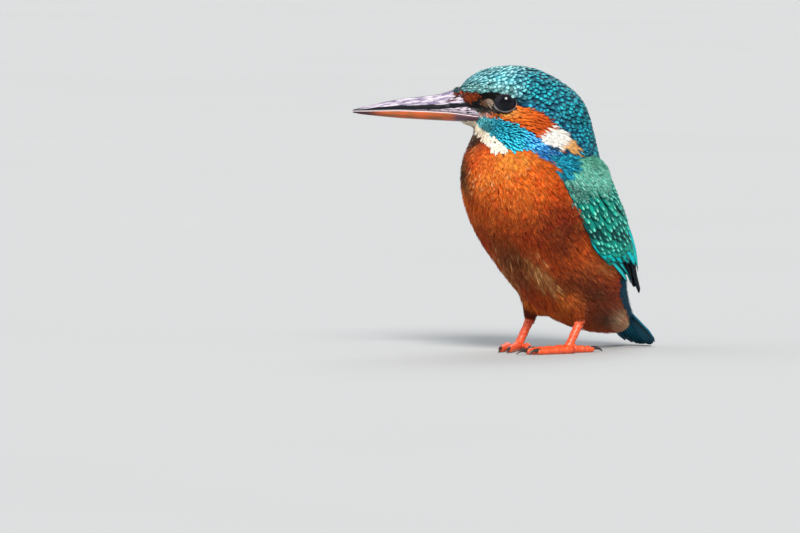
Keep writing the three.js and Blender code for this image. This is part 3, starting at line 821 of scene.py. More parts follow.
def blob(f, k, centre, radii, tilt):
    """A soft spot: 1 at its centre, falling to 0; tilt turns its long axis up from forward, in degrees."""
    a = math.radians(tilt)
    df, dk = f - centre[0], k - centre[1]
    x = (df * math.cos(a) + dk * math.sin(a)) / radii[0]
    y = (dk * math.cos(a) - df * math.sin(a)) / radii[1]
    return np.exp(-(x * x + y * y))


# Patches on the breast and belly as side_view places: centre, radii, tilt, colour, strength. Some are
# painted light and shade: a painted highlight high on the breast, painted shadow down her left edge and
# under the chin, painted shade low on the belly and under the vent; others, such as the buff streaks and
# the buff tuft under the tail, are the plumage's own colours. Those centred further forward than
# SHADOW_FORWARD are painted shadows on her left side only.
SHADOW_FORWARD = 10
BREAST_TONES_AND_PAINTED_LIGHT = [
    ((-4, -26), (10, 13), 60, ORANGE, 1.0),
    # painted highlight high on the breast
    ((-3, -18.5), (7, 3.5), -10, srgb(252, 158, 56), 0.8),
    ((7, -25), (3.5, 7), 80, srgb(240, 128, 40), 0.7),
    ((4, -40), (8, 14), 70, srgb(208, 92, 22), 0.7),
    # painted shadow down her left edge and under the chin
    ((14.4, -34), (2.9, 18), -8, srgb(86, 46, 28), 1.0),
    ((15, -20), (2.1, 9), -6, srgb(80, 44, 30), 0.9),
    ((11.4, -11.6), (5, 3.2), -40, srgb(84, 52, 42), 1.0),
    ((-18, -40), (7, 16), 70, srgb(150, 46, 10), 0.75),
    ((-24, -42), (3.4, 12), 75, srgb(120, 46, 20), 0.6),
    ((-20, -49), (6, 6), 30, CHESTNUT, 0.75),
    ((-11.5, -57.5), (3, 9), -42, srgb(170, 112, 58), 0.7),
    ((-16, -62), (2, 6), -50, srgb(206, 150, 90), 0.7),
    # painted shade low on the belly
    ((-0.5, -58.5), (5, 12), -32, srgb(60, 40, 32), 1.1),
    ((-5, -54), (3, 10), -32, srgb(120, 70, 34), 0.6),
    ((-28, -51), (4.5, 8), 50, srgb(216, 96, 28), 0.9),
    ((-34, -54.5), (3.2, 8), 60, srgb(226, 126, 58), 0.85),
    ((-21, -62), (6, 8), 60, srgb(108, 42, 14), 0.7),
    ((-31, -64), (9, 6), 20, srgb(112, 46, 16), 0.85),
    ((-20.5, -69), (5, 5), 0, srgb(214, 116, 40), 0.9),
    # painted shade under the vent
    ((-35, -72.5), (8, 4.5), 0, srgb(70, 38, 24), 0.75),
    ((-41, -73.5), (3.5, 4), 0, srgb(216, 176, 136), 0.9),
]


def lay_of_body(point, row, column):
    """The way feathers point: away from the bill over the head, then down and back along the trunk."""
    place, _ = body_place(row, column)
    pitch = np.radians(np.interp(place, [5, 8, 10, 11, 13], [58, 54, 46, 38, 24]))
    tailward = np.stack([0 * pitch, np.cos(pitch), -np.sin(pitch)], -1)
    on_head = (1 - smoothstep(place, 5.2, 8.2))[:, None]
    return unit(point - BEAK_ROOT) * on_head + tailward * (1 - on_head)


def alike(colour):
    """One colour for ground and mark."""
    return colour, colour


# Each painter gives ground and mark colours from side_view places, spine places and angles.

def paint_crown(f, k, place, angle):
    """Dark feathers with a turquoise bar each: greyer over the eye, paler on top, streaked behind the eye."""
    front = smoothstep(f, -9, 0)
    grey = smoothstep(f, -7, -1) * (1 - smoothstep(k, 5.5, 9.5))
    deep = smoothstep(-f, 9, 15)
    pale = smoothstep(k, 11, 13.2) * smoothstep(f, -12, -5)
    azure = blob(f, k, (-1, 8.5), (6, 3.5), 0)
    edge = outline_depth(f, k, CROWN_EDGE)
    streak = smoothstep(-f, 2, 6) * (1 - smoothstep(edge, 1.2, 4.6)) * (k < 12)
    ground = mix_in(srgb(0, 68, 88), (srgb(60, 130, 140), front), (srgb(74, 128, 130), grey),
                    (srgb(2, 62, 92), streak))
    mark = mix_in(srgb(30, 170, 176), (srgb(188, 240, 242), 0.9 * front), (srgb(164, 208, 204), grey),
                  (srgb(16, 146, 158), 0.7 * deep), (srgb(196, 236, 226), 0.7 * pale),
                  (srgb(92, 190, 216), 0.6 * azure), (srgb(34, 140, 160), 0.75 * streak))
    return ground, mark


def paint_malar(f, k, place, angle):
    lower = smoothstep(-f, 4, 12)
    front = smoothstep(f, 2, 8.5)
    navy = smoothstep(-f, 13, 19) * (1 - smoothstep(-k - 0.55 * -f, 4.5, 7.5))
    return (mix_in(srgb(22, 146, 176), (srgb(18, 104, 180), lower), (srgb(40, 164, 180), front),
                   (srgb(12, 62, 112), navy)),
            mix_in(srgb(70, 208, 228), (srgb(104, 190, 246), lower), (srgb(170, 246, 240), front),
                   (srgb(40, 120, 178), navy)))


def paint_ear(f, k, place, angle):
    under_eye = blob(f, k, (-1, -2.8), (4, 1.3), 0)
    return alike(mix_in(srgb(248, 124, 40), (srgb(252, 176, 88), under_eye),
                        (srgb(206, 86, 28), smoothstep(-f - 0.5 * k, 7, 18))))


def paint_white(f, k, place, angle):
    tawny = smoothstep(-f - 0.9 * (k + 12), 20.5, 24)
    return alike(mix_in(WHITE, (srgb(238, 176, 104), tawny), (srgb(178, 122, 74), smoothstep(-f, 24.5, 27))))


def paint_throat(f, k, place, angle):
    mark = mix_in(srgb(250, 243, 226), (srgb(238, 222, 196), smoothstep(f, 5, 8) * 0.8))
    # Painted shadow under the chin: a dark ground down the middle of the throat.
    shaded = (1 - smoothstep(np.abs(angle), 6, 22)) * smoothstep(place, 3, 4.4)
    return mix_in(mark, (srgb(84, 62, 50), shaded)), mark


def paint_shoulder(f, k, place, angle):
    return srgb(6, 122, 154), srgb(52, 196, 224)


def paint_scapulars(f, k, place, angle):
    """Hair-like pale sea-green over the shoulder, deeper blue-green towards the middle of the back."""
    back = smoothstep(np.abs(angle), 122, 150)
    low = smoothstep(-k, 19, 24)
    dusk = 0.85 * blob(f, k, (-21.6, -28), (1.8, 5), -60)
    lowest = smoothstep(-k, 27.5, 32)
    ground = mix_in(srgb(62, 150, 126), (srgb(96, 194, 172), low), (srgb(24, 138, 124), lowest),
                    (srgb(8, 112, 128), back), (srgb(40, 78, 76), dusk))
    mark = mix_in(srgb(150, 222, 196), (srgb(176, 240, 220), low), (srgb(36, 168, 180), back),
                  (srgb(112, 156, 146), dusk))
    return ground, mark


def paint_back(f, k, place, angle):
    """The brilliant stripe down the back and rump."""
    side = 1 - smoothstep(np.abs(angle), 138, 160)
    low = side * smoothstep(place, 10.6, 11.6)
    return (mix_in(srgb(4, 146, 208), (srgb(6, 104, 124), side), (srgb(8, 58, 80), low)),
            mix_in(srgb(44, 200, 250), (srgb(24, 150, 162), side), (srgb(24, 98, 128), low)))


def paint_lore(f, k, place, angle):
    return alike(mix_in(srgb(38, 34, 38), (srgb(92, 88, 82), smoothstep(-k, 0.2, 2.2))))


def paint_gape(f, k, place, angle):
    """The fleshy line that runs back from the corner of the mouth."""
    return alike(mix_in(srgb(236, 124, 62), (srgb(236, 190, 182), smoothstep(f, 3.5, 7.5))))


def paint_supraloral(f, k, place, angle):
    mark = mix_in(srgb(176, 76, 32), (srgb(104, 50, 46), smoothstep(f, 12, 15)))
    return mix_in(mark, (srgb(110, 48, 26), smoothstep(-f, -10.4, -8.4))), mark


def paint_lore_buff(f, k, place, angle):
    return alike(mix_in(srgb(206, 184, 162), (srgb(128, 88, 64), smoothstep(f, 4.6, 7.2))))


# Each later region lies over the earlier ones.
REGIONS = [
    ("throat", THROAT, paint_throat),
    ("malar", MALAR, paint_malar),
    ("malar", SHOULDER, paint_shoulder),
    # Painted shadow: dark blue beneath the white neck patch.
    ("shadow_under_white", WHITE_SHADOW, lambda *places: alike(srgb(10, 66, 98))),
    ("ear", EAR, paint_ear),
    ("white", NECK_WHITE, paint_white),
    ("crown", CROWN_EDGE, paint_crown),
    ("face", LORE_DARK, paint_lore),
    ("face", GAPE, paint_gape),
    ("face", LORE_BLACK, lambda *places: alike(BLACK)),
    ("face", SUPRALORAL, paint_supraloral),
    ("face", LORE_BUFF, paint_lore_buff),
]


def body_colours(row, column, jitter=0.0):
    """ground and mark colours and the kind of feather at chart places; jitter roughens the borders, in mm."""
    place, angle = body_place(row, column)
    f, k = seen(row, column)
    ground = np.tile(RUFOUS, (len(f), 1))
    left_side = smoothstep(angle, -76, -52)
    for centre, radii, tilt, paint, strength in BREAST_TONES_AND_PAINTED_LIGHT:
        weight = np.clip(strength * 1.25 * blob(f, k, centre, radii, tilt), 0, 1)
        ground = mix_in(ground, (paint, weight * (left_side if centre[0] > SHADOW_FORWARD else 1.0)))
    # A pale gold mark for the streaks, strongest high on the breast, where it is partly a painted highlight.
    mark = mix_in(ground, (srgb(255, 206, 128), 0.12 + 0.5 * blob(f, k, (1, -25), (13, 13), 0)))
    kind = np.full(len(f), "body", dtype=object)
    kind[(place < 5.5) & (k > -19)] = "face"

    def paint_over(inside, name, painter):
        ground[inside], mark[inside] = painter(f[inside], k[inside], place[inside], angle[inside])
        kind[inside] = name

    side_visible = np.abs(angle) < np.interp(place, [5, 7, 9], [180, 150, 128])
    over_shoulder = (outline_depth(f, k, SCAPULARS) + jitter > 0) & side_visible & (place > 6.4)
    mantle = ~side_visible & (place > 7) & (place < 10)
    paint_over(over_shoulder | mantle, "scapular", paint_scapulars)
    stripe_edge = np.interp(place, [8.4, 9.6, 10.6, 11.4, 12, 13], [175, 150, 126, 100, 96, 96])
    paint_over((np.abs(angle) > stripe_edge + 3 * jitter) & (place > 8.4), "back", paint_back)
    for name, outline, painter in REGIONS:
        inside = outline_depth(f, k, outline) + jitter > 0
        paint_over(inside & (side_visible | (name == "crown")), name, painter)
    return ground, mark, kind


def notch_depth(f, k):
    """How far inside the bill's notch in the face side_view places lie, negative outside it."""
    depths = []
    for far, sign in ((NOTCH_CULMEN, 1), (NOTCH_CHIN, -1)):
        df, dk = np.subtract(far, NOTCH_MOUTH)
        depths.append(sign * ((f - NOTCH_MOUTH[0]) * dk - (k - NOTCH_MOUTH[1]) * df) / math.hypot(df, dk))
    return np.minimum(*depths)


# ---------------------------------------------------------------- the surface over body and wings

def wing_depths(chart):
    """How far each point of a wing's chart lies inside the wing's outline, its tip left open."""
    spots = chart.grid[..., :3]
    gaps = [np.linalg.norm(spots - rim, axis=-1) for rim in (spots[:, :1], spots[:, -1:], spots[:1])]
    return np.minimum.reduce(gaps).ravel()


WING_TREE = tree_of(np.concatenate([chart.grid[..., :3].reshape(-1, 3) for chart in WINGS.values()]))
WING_DEPTHS = np.concatenate([wing_depths(chart) for chart in WINGS.values()])
ONE_WING = wing_thickness(np.linspace(0, 1, WING_ROWS)[:, None], np.linspace(0, 1, WING_COLUMNS)[None])
WING_THICKS = np.tile(ONE_WING.ravel(), 2)
WING_NEAR = 2.2


def under_wing(points):
    """How far inside a wing's outline points lie, 0 where no wing covers them, and its thickness there."""
    depth, thick = np.zeros((2, len(points)))
    for i, point in enumerate(points):
        _, j, distance = WING_TREE.find(point)
        if distance < WING_NEAR:
            depth[i], thick[i] = WING_DEPTHS[j], WING_THICKS[j]
    return depth, thick


def leg_points(word):
    """A leg's side, 1 for her left and -1 for her right, and its hip, ankle and foot joint."""
    side = SIDES[word]
    return side, *(np.array(point) * (side, 1, 1) for point in (HIP, ANKLE, FOOT_JOINT))


THIGH_TOP, THIGH_LIFT, THIGH_STEP = 32, 3.4, 0.2


def thigh_rise(points, normals):
    """How far along its normal each point must go to leave the thighs, up to THIGH_LIFT."""
    rise = np.zeros(len(points))
    near = np.where(points[:, 2] < THIGH_TOP)[0]
    for word in SIDES:
        _, hip, ankle, _ = leg_points(word)
        for height in np.arange(THIGH_STEP, THIGH_LIFT, THIGH_STEP):
            inside = round_cone(points[near] + normals[near] * height, hip, ankle, 3.6, 1.7) < 0
            rise[near[inside]] = np.maximum(rise[near[inside]], height)
    return rise


SPREADS, SOFTENINGS = 2, 14


def over_chart():
    """The body's chart lifted over the folded wings and the thighs, its steps spread and softened."""
    points, normals = BODY.grid[..., :3], BODY.grid[..., 9:]
    depth, thick = under_wing(points.reshape(-1, 3))
    rows = np.repeat(np.arange(CHART_ROWS), CHART_RAYS).astype(float)
    place, _ = body_place(rows, 0 * rows)
    over_wing = np.where(depth > 0.02, WING_CLEAR + thick * 1.05 + 0.15, 0)
    rise = over_wing * (1 - smoothstep(place, 9.3, 10.2))
    rise = np.maximum(rise, thigh_rise(points.reshape(-1, 3), normals.reshape(-1, 3)))
    rise = rise.reshape(points.shape[:2])
    for _ in range(SPREADS):
        beside = [np.roll(rise, step, axis) for axis in (1, 0) for step in (1, -1)]
        rise = np.maximum.reduce([rise, *beside])
    for _ in range(SOFTENINGS):
        for axis in (1, 0):
            rise = (2 * rise + np.roll(rise, 1, axis) + np.roll(rise, -1, axis)) / 4
    return Chart(points + normals * rise[..., None], normals, True)


OVER = over_chart()
LID_REACH = 3.2


def eye_gap(points):
    """Distance of points from the nearer eye's axis, shortened along the eye's long way."""
    f, k = side_view(points)
    return np.hypot(f / EYE_LONG, k - GAZE_UP)


def on_lid(points, f):
    """True on the bare lids; behind and above the eye the feathers root closer to its opening."""
    above = points[:, 2] - head(0, 0, GAZE_UP)[2]
    return eye_gap(points) < LID_REACH - 0.35 * smoothstep(-f, 0, 2) - 0.4 * smoothstep(above, 1.2, 2.4)


def body_spacing(row, column):
    """The gap between feather roots in mm: closest round the bill."""
    place, _ = body_place(row, column)
    f, k = seen(row, column)
    on_head = np.interp(np.hypot(f - 14, k + 1), [0, 6, 14, 26], [0.4, 0.48, 0.62, 0.8])
    on_body = np.interp(place, [5, 8, 13], [0.8, 0.92, 1.02])
    share = smoothstep(place, 4, 6.5)
    fine = 1 - 0.2 * smoothstep(outline_depth(f, k, MALAR), -1, 0.5)
    return (on_head * (1 - share) + on_body * share) * fine


TRIES_PER_ROOT = 6.5


def body_seeds():
    """Roots over the head and body, evenly spread at the spacing that each region's feathers need."""
    grid = BODY.grid
    area = np.linalg.norm(np.cross(grid[..., 3:6], grid[..., 6:9]), axis=-1)
    rows, columns = (axis.ravel() for axis in np.indices((CHART_ROWS, CHART_RAYS)))
    weight = area.ravel() / body_spacing(rows.astype(float), columns.astype(float)) ** 2
    tries = int(TRIES_PER_ROOT * weight.sum())
    pick = random.choice(len(weight), tries, p=weight / weight.sum())
    row = np.clip(rows[pick] + random.uniform(-0.5, 0.5, tries), 0, CHART_ROWS - 1.01)
    column = columns[pick] + random.uniform(-0.5, 0.5, tries)
    keep = thin_out(BODY.at(row, column)[0], body_spacing(row, column))
    return row[keep], column[keep]


def walked(row, column, distance, steps=3):
    """Chart places `distance` further along the lay of the feathers."""
    for _ in range(steps):
        point, _, _, normal = BODY.at(row, column)
        way = pressed(lay_of_body(point, row, column), normal)
        d_row, d_column = BODY.steer(row, column, way * (distance / steps)[:, None])
        row, column = row + d_row, column + d_column
    return row, column


# ---------------------------------------------------------------- coats of the head and body

CROWN_LENGTH, CROWN_COLUMNS, FEWEST_IN_ROW = 70, np.arange(-112, 113), 8


def crown_seeds():
    """Rows of roots square to the way the crown's feathers lie, from the bill to the back of the neck."""
    points = BODY.grid[..., :3]
    away = np.linalg.norm(points - head(17, 0, 2), axis=-1)
    down_middle = walk_along(points[:, 0])
    levels, at = [], 0.6
    while at < CROWN_LENGTH:
        levels.append(np.interp(at, down_middle, away[:, 0]))
        at += np.interp(at, [0, 10, 18, 40, 60], [0.8, 0.9, 1.35, 1.6, 1.8])
    climb = away[:, CROWN_COLUMNS % CHART_RAYS]
    found = []
    for number, level in enumerate(levels):
        crossing = (climb[1:] >= level) & (climb[:-1] < level)
        good = np.where(crossing.any(0))[0]
        if len(good) < FEWEST_IN_ROW:
            continue
        i = crossing.argmax(0)[good]
        row = i + (level - climb[i, good]) / (climb[i + 1, good] - climb[i, good])
        column = CROWN_COLUMNS[good].astype(float)
        walk = walk_along(BODY.at(row, column)[0])
        gap = np.interp(level, [0, 11, 17, 42], [0.62, 0.72, 1.25, 1.55])
        steps = np.arange(-90, 91) + 0.5 * (number % 2)
        places = np.interp(0, column, walk) + steps * gap + random.normal(0, 0.17 * gap, len(steps))
        places = places[(places > 0) & (places < walk[-1])]
        found.append((np.interp(places, walk, row) + random.normal(0, 0.8, len(places)),
                      np.interp(places, walk, column), np.full(len(places), gap)))
    return [np.concatenate(values) for values in zip(*found)]


coats = collections.defaultdict(Coat)


def clothe(name, template, row, column, length, width, thick, under, over, ground, mark, turn=0.14, rough=0.0,
           lay=lay_of_body, chart=BODY, vary=0.09):
    """Adds feathers rooted at body chart places to the named coat; sizes in mm, turn in radians."""
    full = np.ones(len(row))
    length = full * length * random.uniform(0.86, 1.12, len(row))
    turned = random.normal(0, turn, len(row))
    lines = laid(chart, row, column, length, lay, turned, full * under, full * over)
    width = full * width * random.uniform(0.88, 1.12, len(row))
    sag = sideways_sag(chart, row, column, lines[2][:, 3], width)
    place, angle = body_place(row, column)
    bake = unwrap((angle + 180) / 360, place / SPINE_END)
    coats[name].add(template, lines, width, full * thick, sag, bake, ground, mark, rough, vary)


crown_row, crown_column, crown_gap = crown_seeds()
crown_point = BODY.at(crown_row, crown_column)[0]
crown_length = 2.7 * crown_gap + 1.2
seen_at = walked(crown_row, crown_column, crown_length * 0.8)
crown_ground, crown_mark, crown_kind = body_colours(*seen_at, random.normal(0, 0.15, len(crown_row)))
crown_f, crown_k = seen(crown_row, crown_column)
keep = (crown_kind == "crown") & (notch_depth(crown_f, crown_k) <= 0) & ~on_lid(crown_point, crown_f)
keep &= body_place(crown_row, crown_column)[0] < 9
crown_mark = mix_in(crown_mark, (crown_ground, 0.75 * random.uniform(0, 1, len(crown_f)) ** 2))
for name, which in (("forehead_feathers", crown_gap < 0.85), ("crown_feathers", crown_gap >= 0.85)):
    which = which & keep
    gap = crown_gap[which]
    clothe(name, VANE, crown_row[which], crown_column[which], crown_length[which], gap * 0.74, 0.06,
           np.interp(gap, [0.6, 1.6], [0.1, 1.2]), np.interp(gap, [0.6, 1.2], [0.32, 0.14]),
           crown_ground[which], crown_mark[which], turn=0.1, vary=0.24)

# Everything else grows from the evenly spread roots, coloured by where its tip will be seen.
seed_row, seed_column = body_seeds()
seed_point = BODY.at(seed_row, seed_column)[0]
seed_f, seed_k = seen(seed_row, seed_column)
seed_place, seed_angle = body_place(seed_row, seed_column)
from_bill = np.hypot(seed_f - 14, seed_k + 1)
body_share = smoothstep(seed_place, 5.4, 7.6)
size = (np.interp(from_bill, [2, 14, 30], [1.2, 2.5, 3.6]) * (1 - body_share)
        + body_share * np.interp(seed_place, [7, 8.5, 10, 12], [4.4, 5.2, 6.3, 7.0]))
tip_row, tip_column = walked(seed_row, seed_column, size * 0.8)
tip_f, tip_k = seen(tip_row, tip_column)
seed_ground, seed_mark, kind = body_colours(tip_row, tip_column, random.normal(0, 0.12, len(seed_row)))
depth = np.interp(from_bill, [0, 6, 14, 30], [0.3, 0.42, 0.7, 1.4])
covered, _ = under_wing(seed_point)
crown_tree = tree_of(crown_point[keep])
between_rows = (kind == "crown") & np.array([crown_tree.find(point)[2] > 1.5 for point in seed_point])
between_rows &= (seed_place > 6.4) & (covered < 1.5)
crown_border = outline_depth(tip_f, tip_k, CROWN_EDGE)
# Left bare: the bill's notch, the lids, what the wings cover, and stray tufts at the borders.
bare = (notch_depth(seed_f, seed_k) > -0.1) | on_lid(seed_point, seed_f)
bare |= (covered > np.interp(seed_place, [8, 8.7, 9.3, 10], [1.3, 0.5, 0.1, 1.0])) & (kind == "body")
bare |= (covered > 1.0) & (kind != "scapular") & ~((kind == "malar") & (covered < 14))
bare |= (kind == "scapular") & (tip_f > -21.7) & (tip_k < -29.3)
bare |= (kind == "crown") & ((crown_border > 2.6) | (seed_place > 7.5) | (np.abs(seed_angle) > 150))
kind[bare] = "none"


def grow(name, template, which, length, width, thick, under, over, **manner):
    """Clothes the marked seeds; length, width, under and over are given for all seeds or as one number."""
    given = (seed_row, seed_column, length, width, thick, under, over)
    row, column, *sizes = (np.broadcast_to(value, which.shape)[which] for value in given)
    clothe(name, template, row, column, *sizes, seed_ground[which], seed_mark[which], **manner)


# Short dark bristles reach forward over the root of the bill.
BRISTLES = 130
bristle_row = random.uniform(14, 34, BRISTLES)
bristle_column = random.uniform(-45, 45, BRISTLES)
bristle_ground, _, _ = body_colours(bristle_row, bristle_column)
bristle_ground = mix_in(bristle_ground, (srgb(10, 26, 32), random.uniform(0.3, 1, BRISTLES)))
clothe("face_bristles", FANS[5], bristle_row, bristle_column, 1.5, 0.3, 0.05, 0.2, 1.1, bristle_ground,
       bristle_ground, turn=0.25, lay=lambda point, row, column: unit(head(17.5, 0, 1) - point))

face, white = kind == "face", (kind == "white") | (kind == "shadow_under_white")
cheek_strip, low_strip = (kind == "malar") & (seed_place < 6.6), (kind == "malar") & (seed_place >= 6.6)
bristly = smoothstep(seed_f[face], 7, 10) * smoothstep(seed_k[face], 0, 1.5)
dusk = 0.9 * random.uniform(0, 1, face.sum()) ** (3 - 1.9 * bristly)
seed_ground[face] = mix_in(seed_ground[face], (seed_ground[face] * 0.15, dusk))
grow("face_feathers", FANS[5], face, size, size * 0.24, 0.05, depth, 0.05, turn=0.16)
grow("crown_feathers", VANE, between_rows, 5.0, 1.1, 0.06, 1.2, 0.14, turn=0.1, vary=0.2)
grow("eyestreak_feathers", FANS[5], (kind == "crown") & ~between_rows, size, size * 0.2, 0.05, depth, 0.2,
     vary=0.2)
grow("cheek_feathers", FANS[7], kind == "ear", size * 1.15, 0.6, 0.05, depth, 0.3, turn=0.11, rough=-0.03)
grow("nape_white_feathers", FANS[7], white, size, 1.05, 0.04, depth * 0.7, 0.1, turn=0.05, rough=-0.1,
     vary=0.02)
grow("throat_feathers", FANS[7], kind == "throat", size, size * 0.32, 0.04, depth * 0.5, 0.1, turn=0.06,
     rough=-0.1, vary=0.02)
grow("malar_feathers", VANE, cheek_strip, size * 0.9, size * 0.145, 0.045, depth, 0.14, turn=0.1, vary=0.22)
grow("shoulder_feathers", FANS[7], low_strip, size, 0.9, 0.06, 1.0, 0.4, chart=OVER, vary=0.24)
HALVES = dict(left=seed_angle >= 0, right=seed_angle < 0)
for word, half in HALVES.items():
    grow(f"scapular_feathers_{word}", FANS[9], (kind == "scapular") & half, 5.8, 1.3, 0.06, 1.0, 0.22,
         turn=0.09, chart=OVER, vary=0.1)
raised = 0.3 + 0.9 * smoothstep(seed_place, 10.4, 11.6)
grow("back_feathers", FANS[7], kind == "back", 7.0, 1.3, 0.08, 1.4, raised, turn=0.1)

SIDE_TURN = 0.1


def lay_beside_wing(point, row, column):
    """As lay_of_body, but fanned out over the folded wing's lower edge."""
    _, angle = body_place(row, column)
    near = smoothstep(np.abs(angle), 55, 85) * (1 - smoothstep(np.abs(angle), 100, 120))
    return lay_of_body(point, row, column) + np.array([0, 0.6, 0.8]) * (SIDE_TURN * near)[:, None]


# Breast, belly and vent: the first and last spine place, width, and how evenly the feathers lie.
UNDERPARTS = dict(breast=(0, 8.2, 0.95, dict(turn=0.08, rough=-0.1)),
                  belly=(8.2, 10.2, 1.05, dict(turn=0.12)),
                  vent=(10.2, 14, 1.1, dict(turn=0.12)))
for part, (low, high, width, manner) in UNDERPARTS.items():
    for word, half in HALVES.items():
        which = (kind == "body") & (seed_place >= low) & (seed_place < high) & half
        f, k, ground = tip_f[which], tip_k[which], seed_ground[which]
        waves = np.sin(0.9 * f + 1.7 * np.sin(0.35 * k + 1)) * np.sin(0.55 * k + 1.3 * np.sin(0.6 * f))
        ground = mix_in(ground, (srgb(252, 144, 54), 0.2 * np.maximum(waves, 0) * (k > -44)))
        ground = mix_in(ground, (ground * srgb(235, 170, 150), 0.75 * np.maximum(-waves, 0)))
        flecked = 0.07 * blob(f, k, (8, -27), (4.5, 12), 80) * (seed_angle[which] > -50)
        fleck = random.uniform(0, 1, len(f)) < flecked
        locks = np.maximum(blob(f, k, (-12, -59.5), (3, 8), -48), 0.3 * blob(f, k, (-37, -57), (2, 8), 60))
        lock = random.uniform(0, 1, len(f)) < 0.45 * locks
        seed_ground[which] = mix_in(ground, (srgb(250, 208, 150), 0.45 * fleck),
                                    (srgb(228, 174, 108), random.uniform(0.3, 0.8, len(f)) * lock))
        length = size.copy()
        length[which] *= (1 - 0.35 * fleck) * (1.3 if part == "breast" else 1.0)
        blades = 7 if word == "right" or part == "vent" else 9
        grow(f"{part}_feathers_{word}", FANS[blades], which, length, width, 0.05, depth, 0.15, chart=OVER,
             lay=lay_beside_wing, **manner)


# ---------------------------------------------------------------- thighs

THIGH_ROWS, THIGH_RAYS, THIGH_FEATHERS = 40, 60, 560
GOLDEN_TURN = 0.381966


def thigh_chart(word):
    """A tapering sleeve of surface points down a thigh, from inside the belly, and its axis."""
    _, hip, ankle, _ = leg_points(word)
    share = np.linspace(-0.7, 1, THIGH_ROWS)
    around = np.linspace(0, TAU, THIGH_RAYS, endpoint=False)[:, None]
    axis = unit(ankle - hip)
    across = unit(np.cross(axis, UP))
    ring = across * np.cos(around) + np.cross(across, axis) * np.sin(around)
    radius = np.interp(share, [-0.7, 0, 0.6, 1], [4.2, 3.6, 2.3, 1.4])
    middle = hip + (ankle + axis * 1.2 - hip) * share[:, None]
    return Chart(middle[:, None] + ring * radius[:, None, None], ring, True), axis


def dress_thigh(word):
    chart, axis = thigh_chart(word)
    count, last = THIGH_FEATHERS, THIGH_ROWS - 1
    row = last * (np.arange(count) + 0.5) / count * 0.95
    column = np.arange(count) * THIGH_RAYS * GOLDEN_TURN + random.uniform(-1, 1, count)
    full = np.ones(count)
    length = np.interp(row, [0, 18, last], [6.0, 5.0, 2.0]) * random.uniform(0.7, 1.25, count)
    lines = laid(chart, row, column, length, lambda point, row, column: axis, random.normal(0, 0.16, count),
                 full * 1.0, full * 0.1)
    ground = mix_in(srgb(186, 84, 28), (srgb(112, 44, 18), random.uniform(0, 0.9, count)))
    # The right thigh, the far one, is given painted shade: darker than the left.
    if word == "right":
        ground = mix_in(ground, (srgb(84, 32, 22), 0.7))
    bake = unwrap((column % THIGH_RAYS) / THIGH_RAYS, row / last)
    coats[f"thigh_feathers_{word}"].add(FANS[7], lines, full * 0.7, full * 0.05, full * 0.08, bake, ground,
                                        ground, rough=0.04)


for word in SIDES:
    dress_thigh(word)

SOFT = feather_material("soft_feathers", streak=0.4, root_dark=0.04, grain=0.3, sheen=0.04, roughness=0.7,
                        specular=0.1)
PALE = feather_material("pale_feathers", root_dark=0.02, sheen=0.1, roughness=0.7, specular=0.15)
SILKY = feather_material("silky_feathers", streak=0.8)
LOOKS = dict(dict.fromkeys(["eyestreak", "shoulder", "scapular", "back"], SILKY), nape=PALE, throat=PALE,
             crown=feather_material("crown_barred", bar=(0.72, 0.93, 0.54)),
             forehead=feather_material("forehead_ticked", spot=(0.4, 0.97, 0.38)),
             malar=feather_material("blue_streaked", spot=(0.42, 0.94, 0.5)))
SLOTS = dict(dict.fromkeys(["crown", "forehead", "eyestreak", "face", "cheek"], "crown_plumage"),
             **dict.fromkeys(["nape", "throat", "malar"], "neck_plumage"))
for name, gathered in coats.items():
    region = name.split("_")[0]
    gathered.piece(name, LOOKS.get(region, SOFT), SLOTS.get(region, "body_plumage"))


# ---------------------------------------------------------------- the skin

SCUTE, SCUTE_STEP = 0.13, 1.35


def toe_line(word, name):
    """Start, end and forward direction of a toe's middle line."""
    side, _, _, joint = leg_points(word)
    toe = TOES[name]
    turn = math.radians(TOES_TURN[word] - toe["turn"])
    straight = math.radians(TOES_TURN[word])
    ahead = np.array([-side * math.sin(turn), -math.cos(turn), 0])
    outwards = np.array([side * math.cos(straight), -math.sin(straight), 0])
    base = np.array([*joint[:2], toe["radius"] * TOE_HEIGHT]) + outwards * toe["side"] + ahead * toe["start"]
    end = base + ahead * toe["length"]
    end[2] = toe["tip"] * TOE_HEIGHT
    return base, end, ahead


def scutes(walk):
    """The overlapping plates along a toe or shank: -0.5 in the creases between them, 0.5 on the plates."""
    return np.abs(np.sin(math.pi * walk / SCUTE_STEP)) ** 0.6 - 0.5


def toe_field(p, word, name):
    base, end, ahead = toe_line(word, name)
    toe = TOES[name]
    along = np.clip((p - base) @ ahead / toe["length"], 0, 1)
    plates = SCUTE * scutes(along * toe["length"]) * smoothstep(p[..., 2], 0.8, 1.4)
    swell = 0.13 * np.sin(TAU * 3 * along - 0.5) + plates
    return round_cone(p, base - ahead * 0.6, end - ahead * 0.3, toe["radius"] * 0.98, toe["tip"]) - swell


def leg_field(p, word):
    _, hip, ankle, joint = leg_points(word)
    middle = (ankle + joint) / 2
    shank = blend(round_cone(p, ankle, middle, 1.6, 1.25), round_cone(p, middle, joint, 1.25, 1.5), 0.8)
    foot = shank - SCUTE * scutes(p[..., 2])
    for name in TOES:
        foot = blend(foot, toe_field(p, word, name), 0.9)
    return blend(round_cone(p, hip, ankle + (hip - ankle) * 0.1, 3.1, 1.4), foot, 1.2)


EYE_HOLE, EYE_HOLE_FALL, EYE_HOLE_IN, NOTCH_CLEAR = (3.9, 3.12), 3.2, 1, 0.6


def coat_depth(p):
    """How far the skin lies under the feathers' outline: least round the bill and the eyes."""
    reach = np.linalg.norm(p - head(14, 0, -1), axis=-1)
    depth = np.interp(reach, [0, 6, 14, 30], [0.3, 0.45, 0.7, 1.35])
    ball = np.minimum(*(np.linalg.norm(p - head(0, out, GAZE_UP), axis=-1) for out in (EYE_OUT, -EYE_OUT)))
    return np.minimum(depth, np.interp(ball, [4.4, 7.5], [0.3, 1.4]))


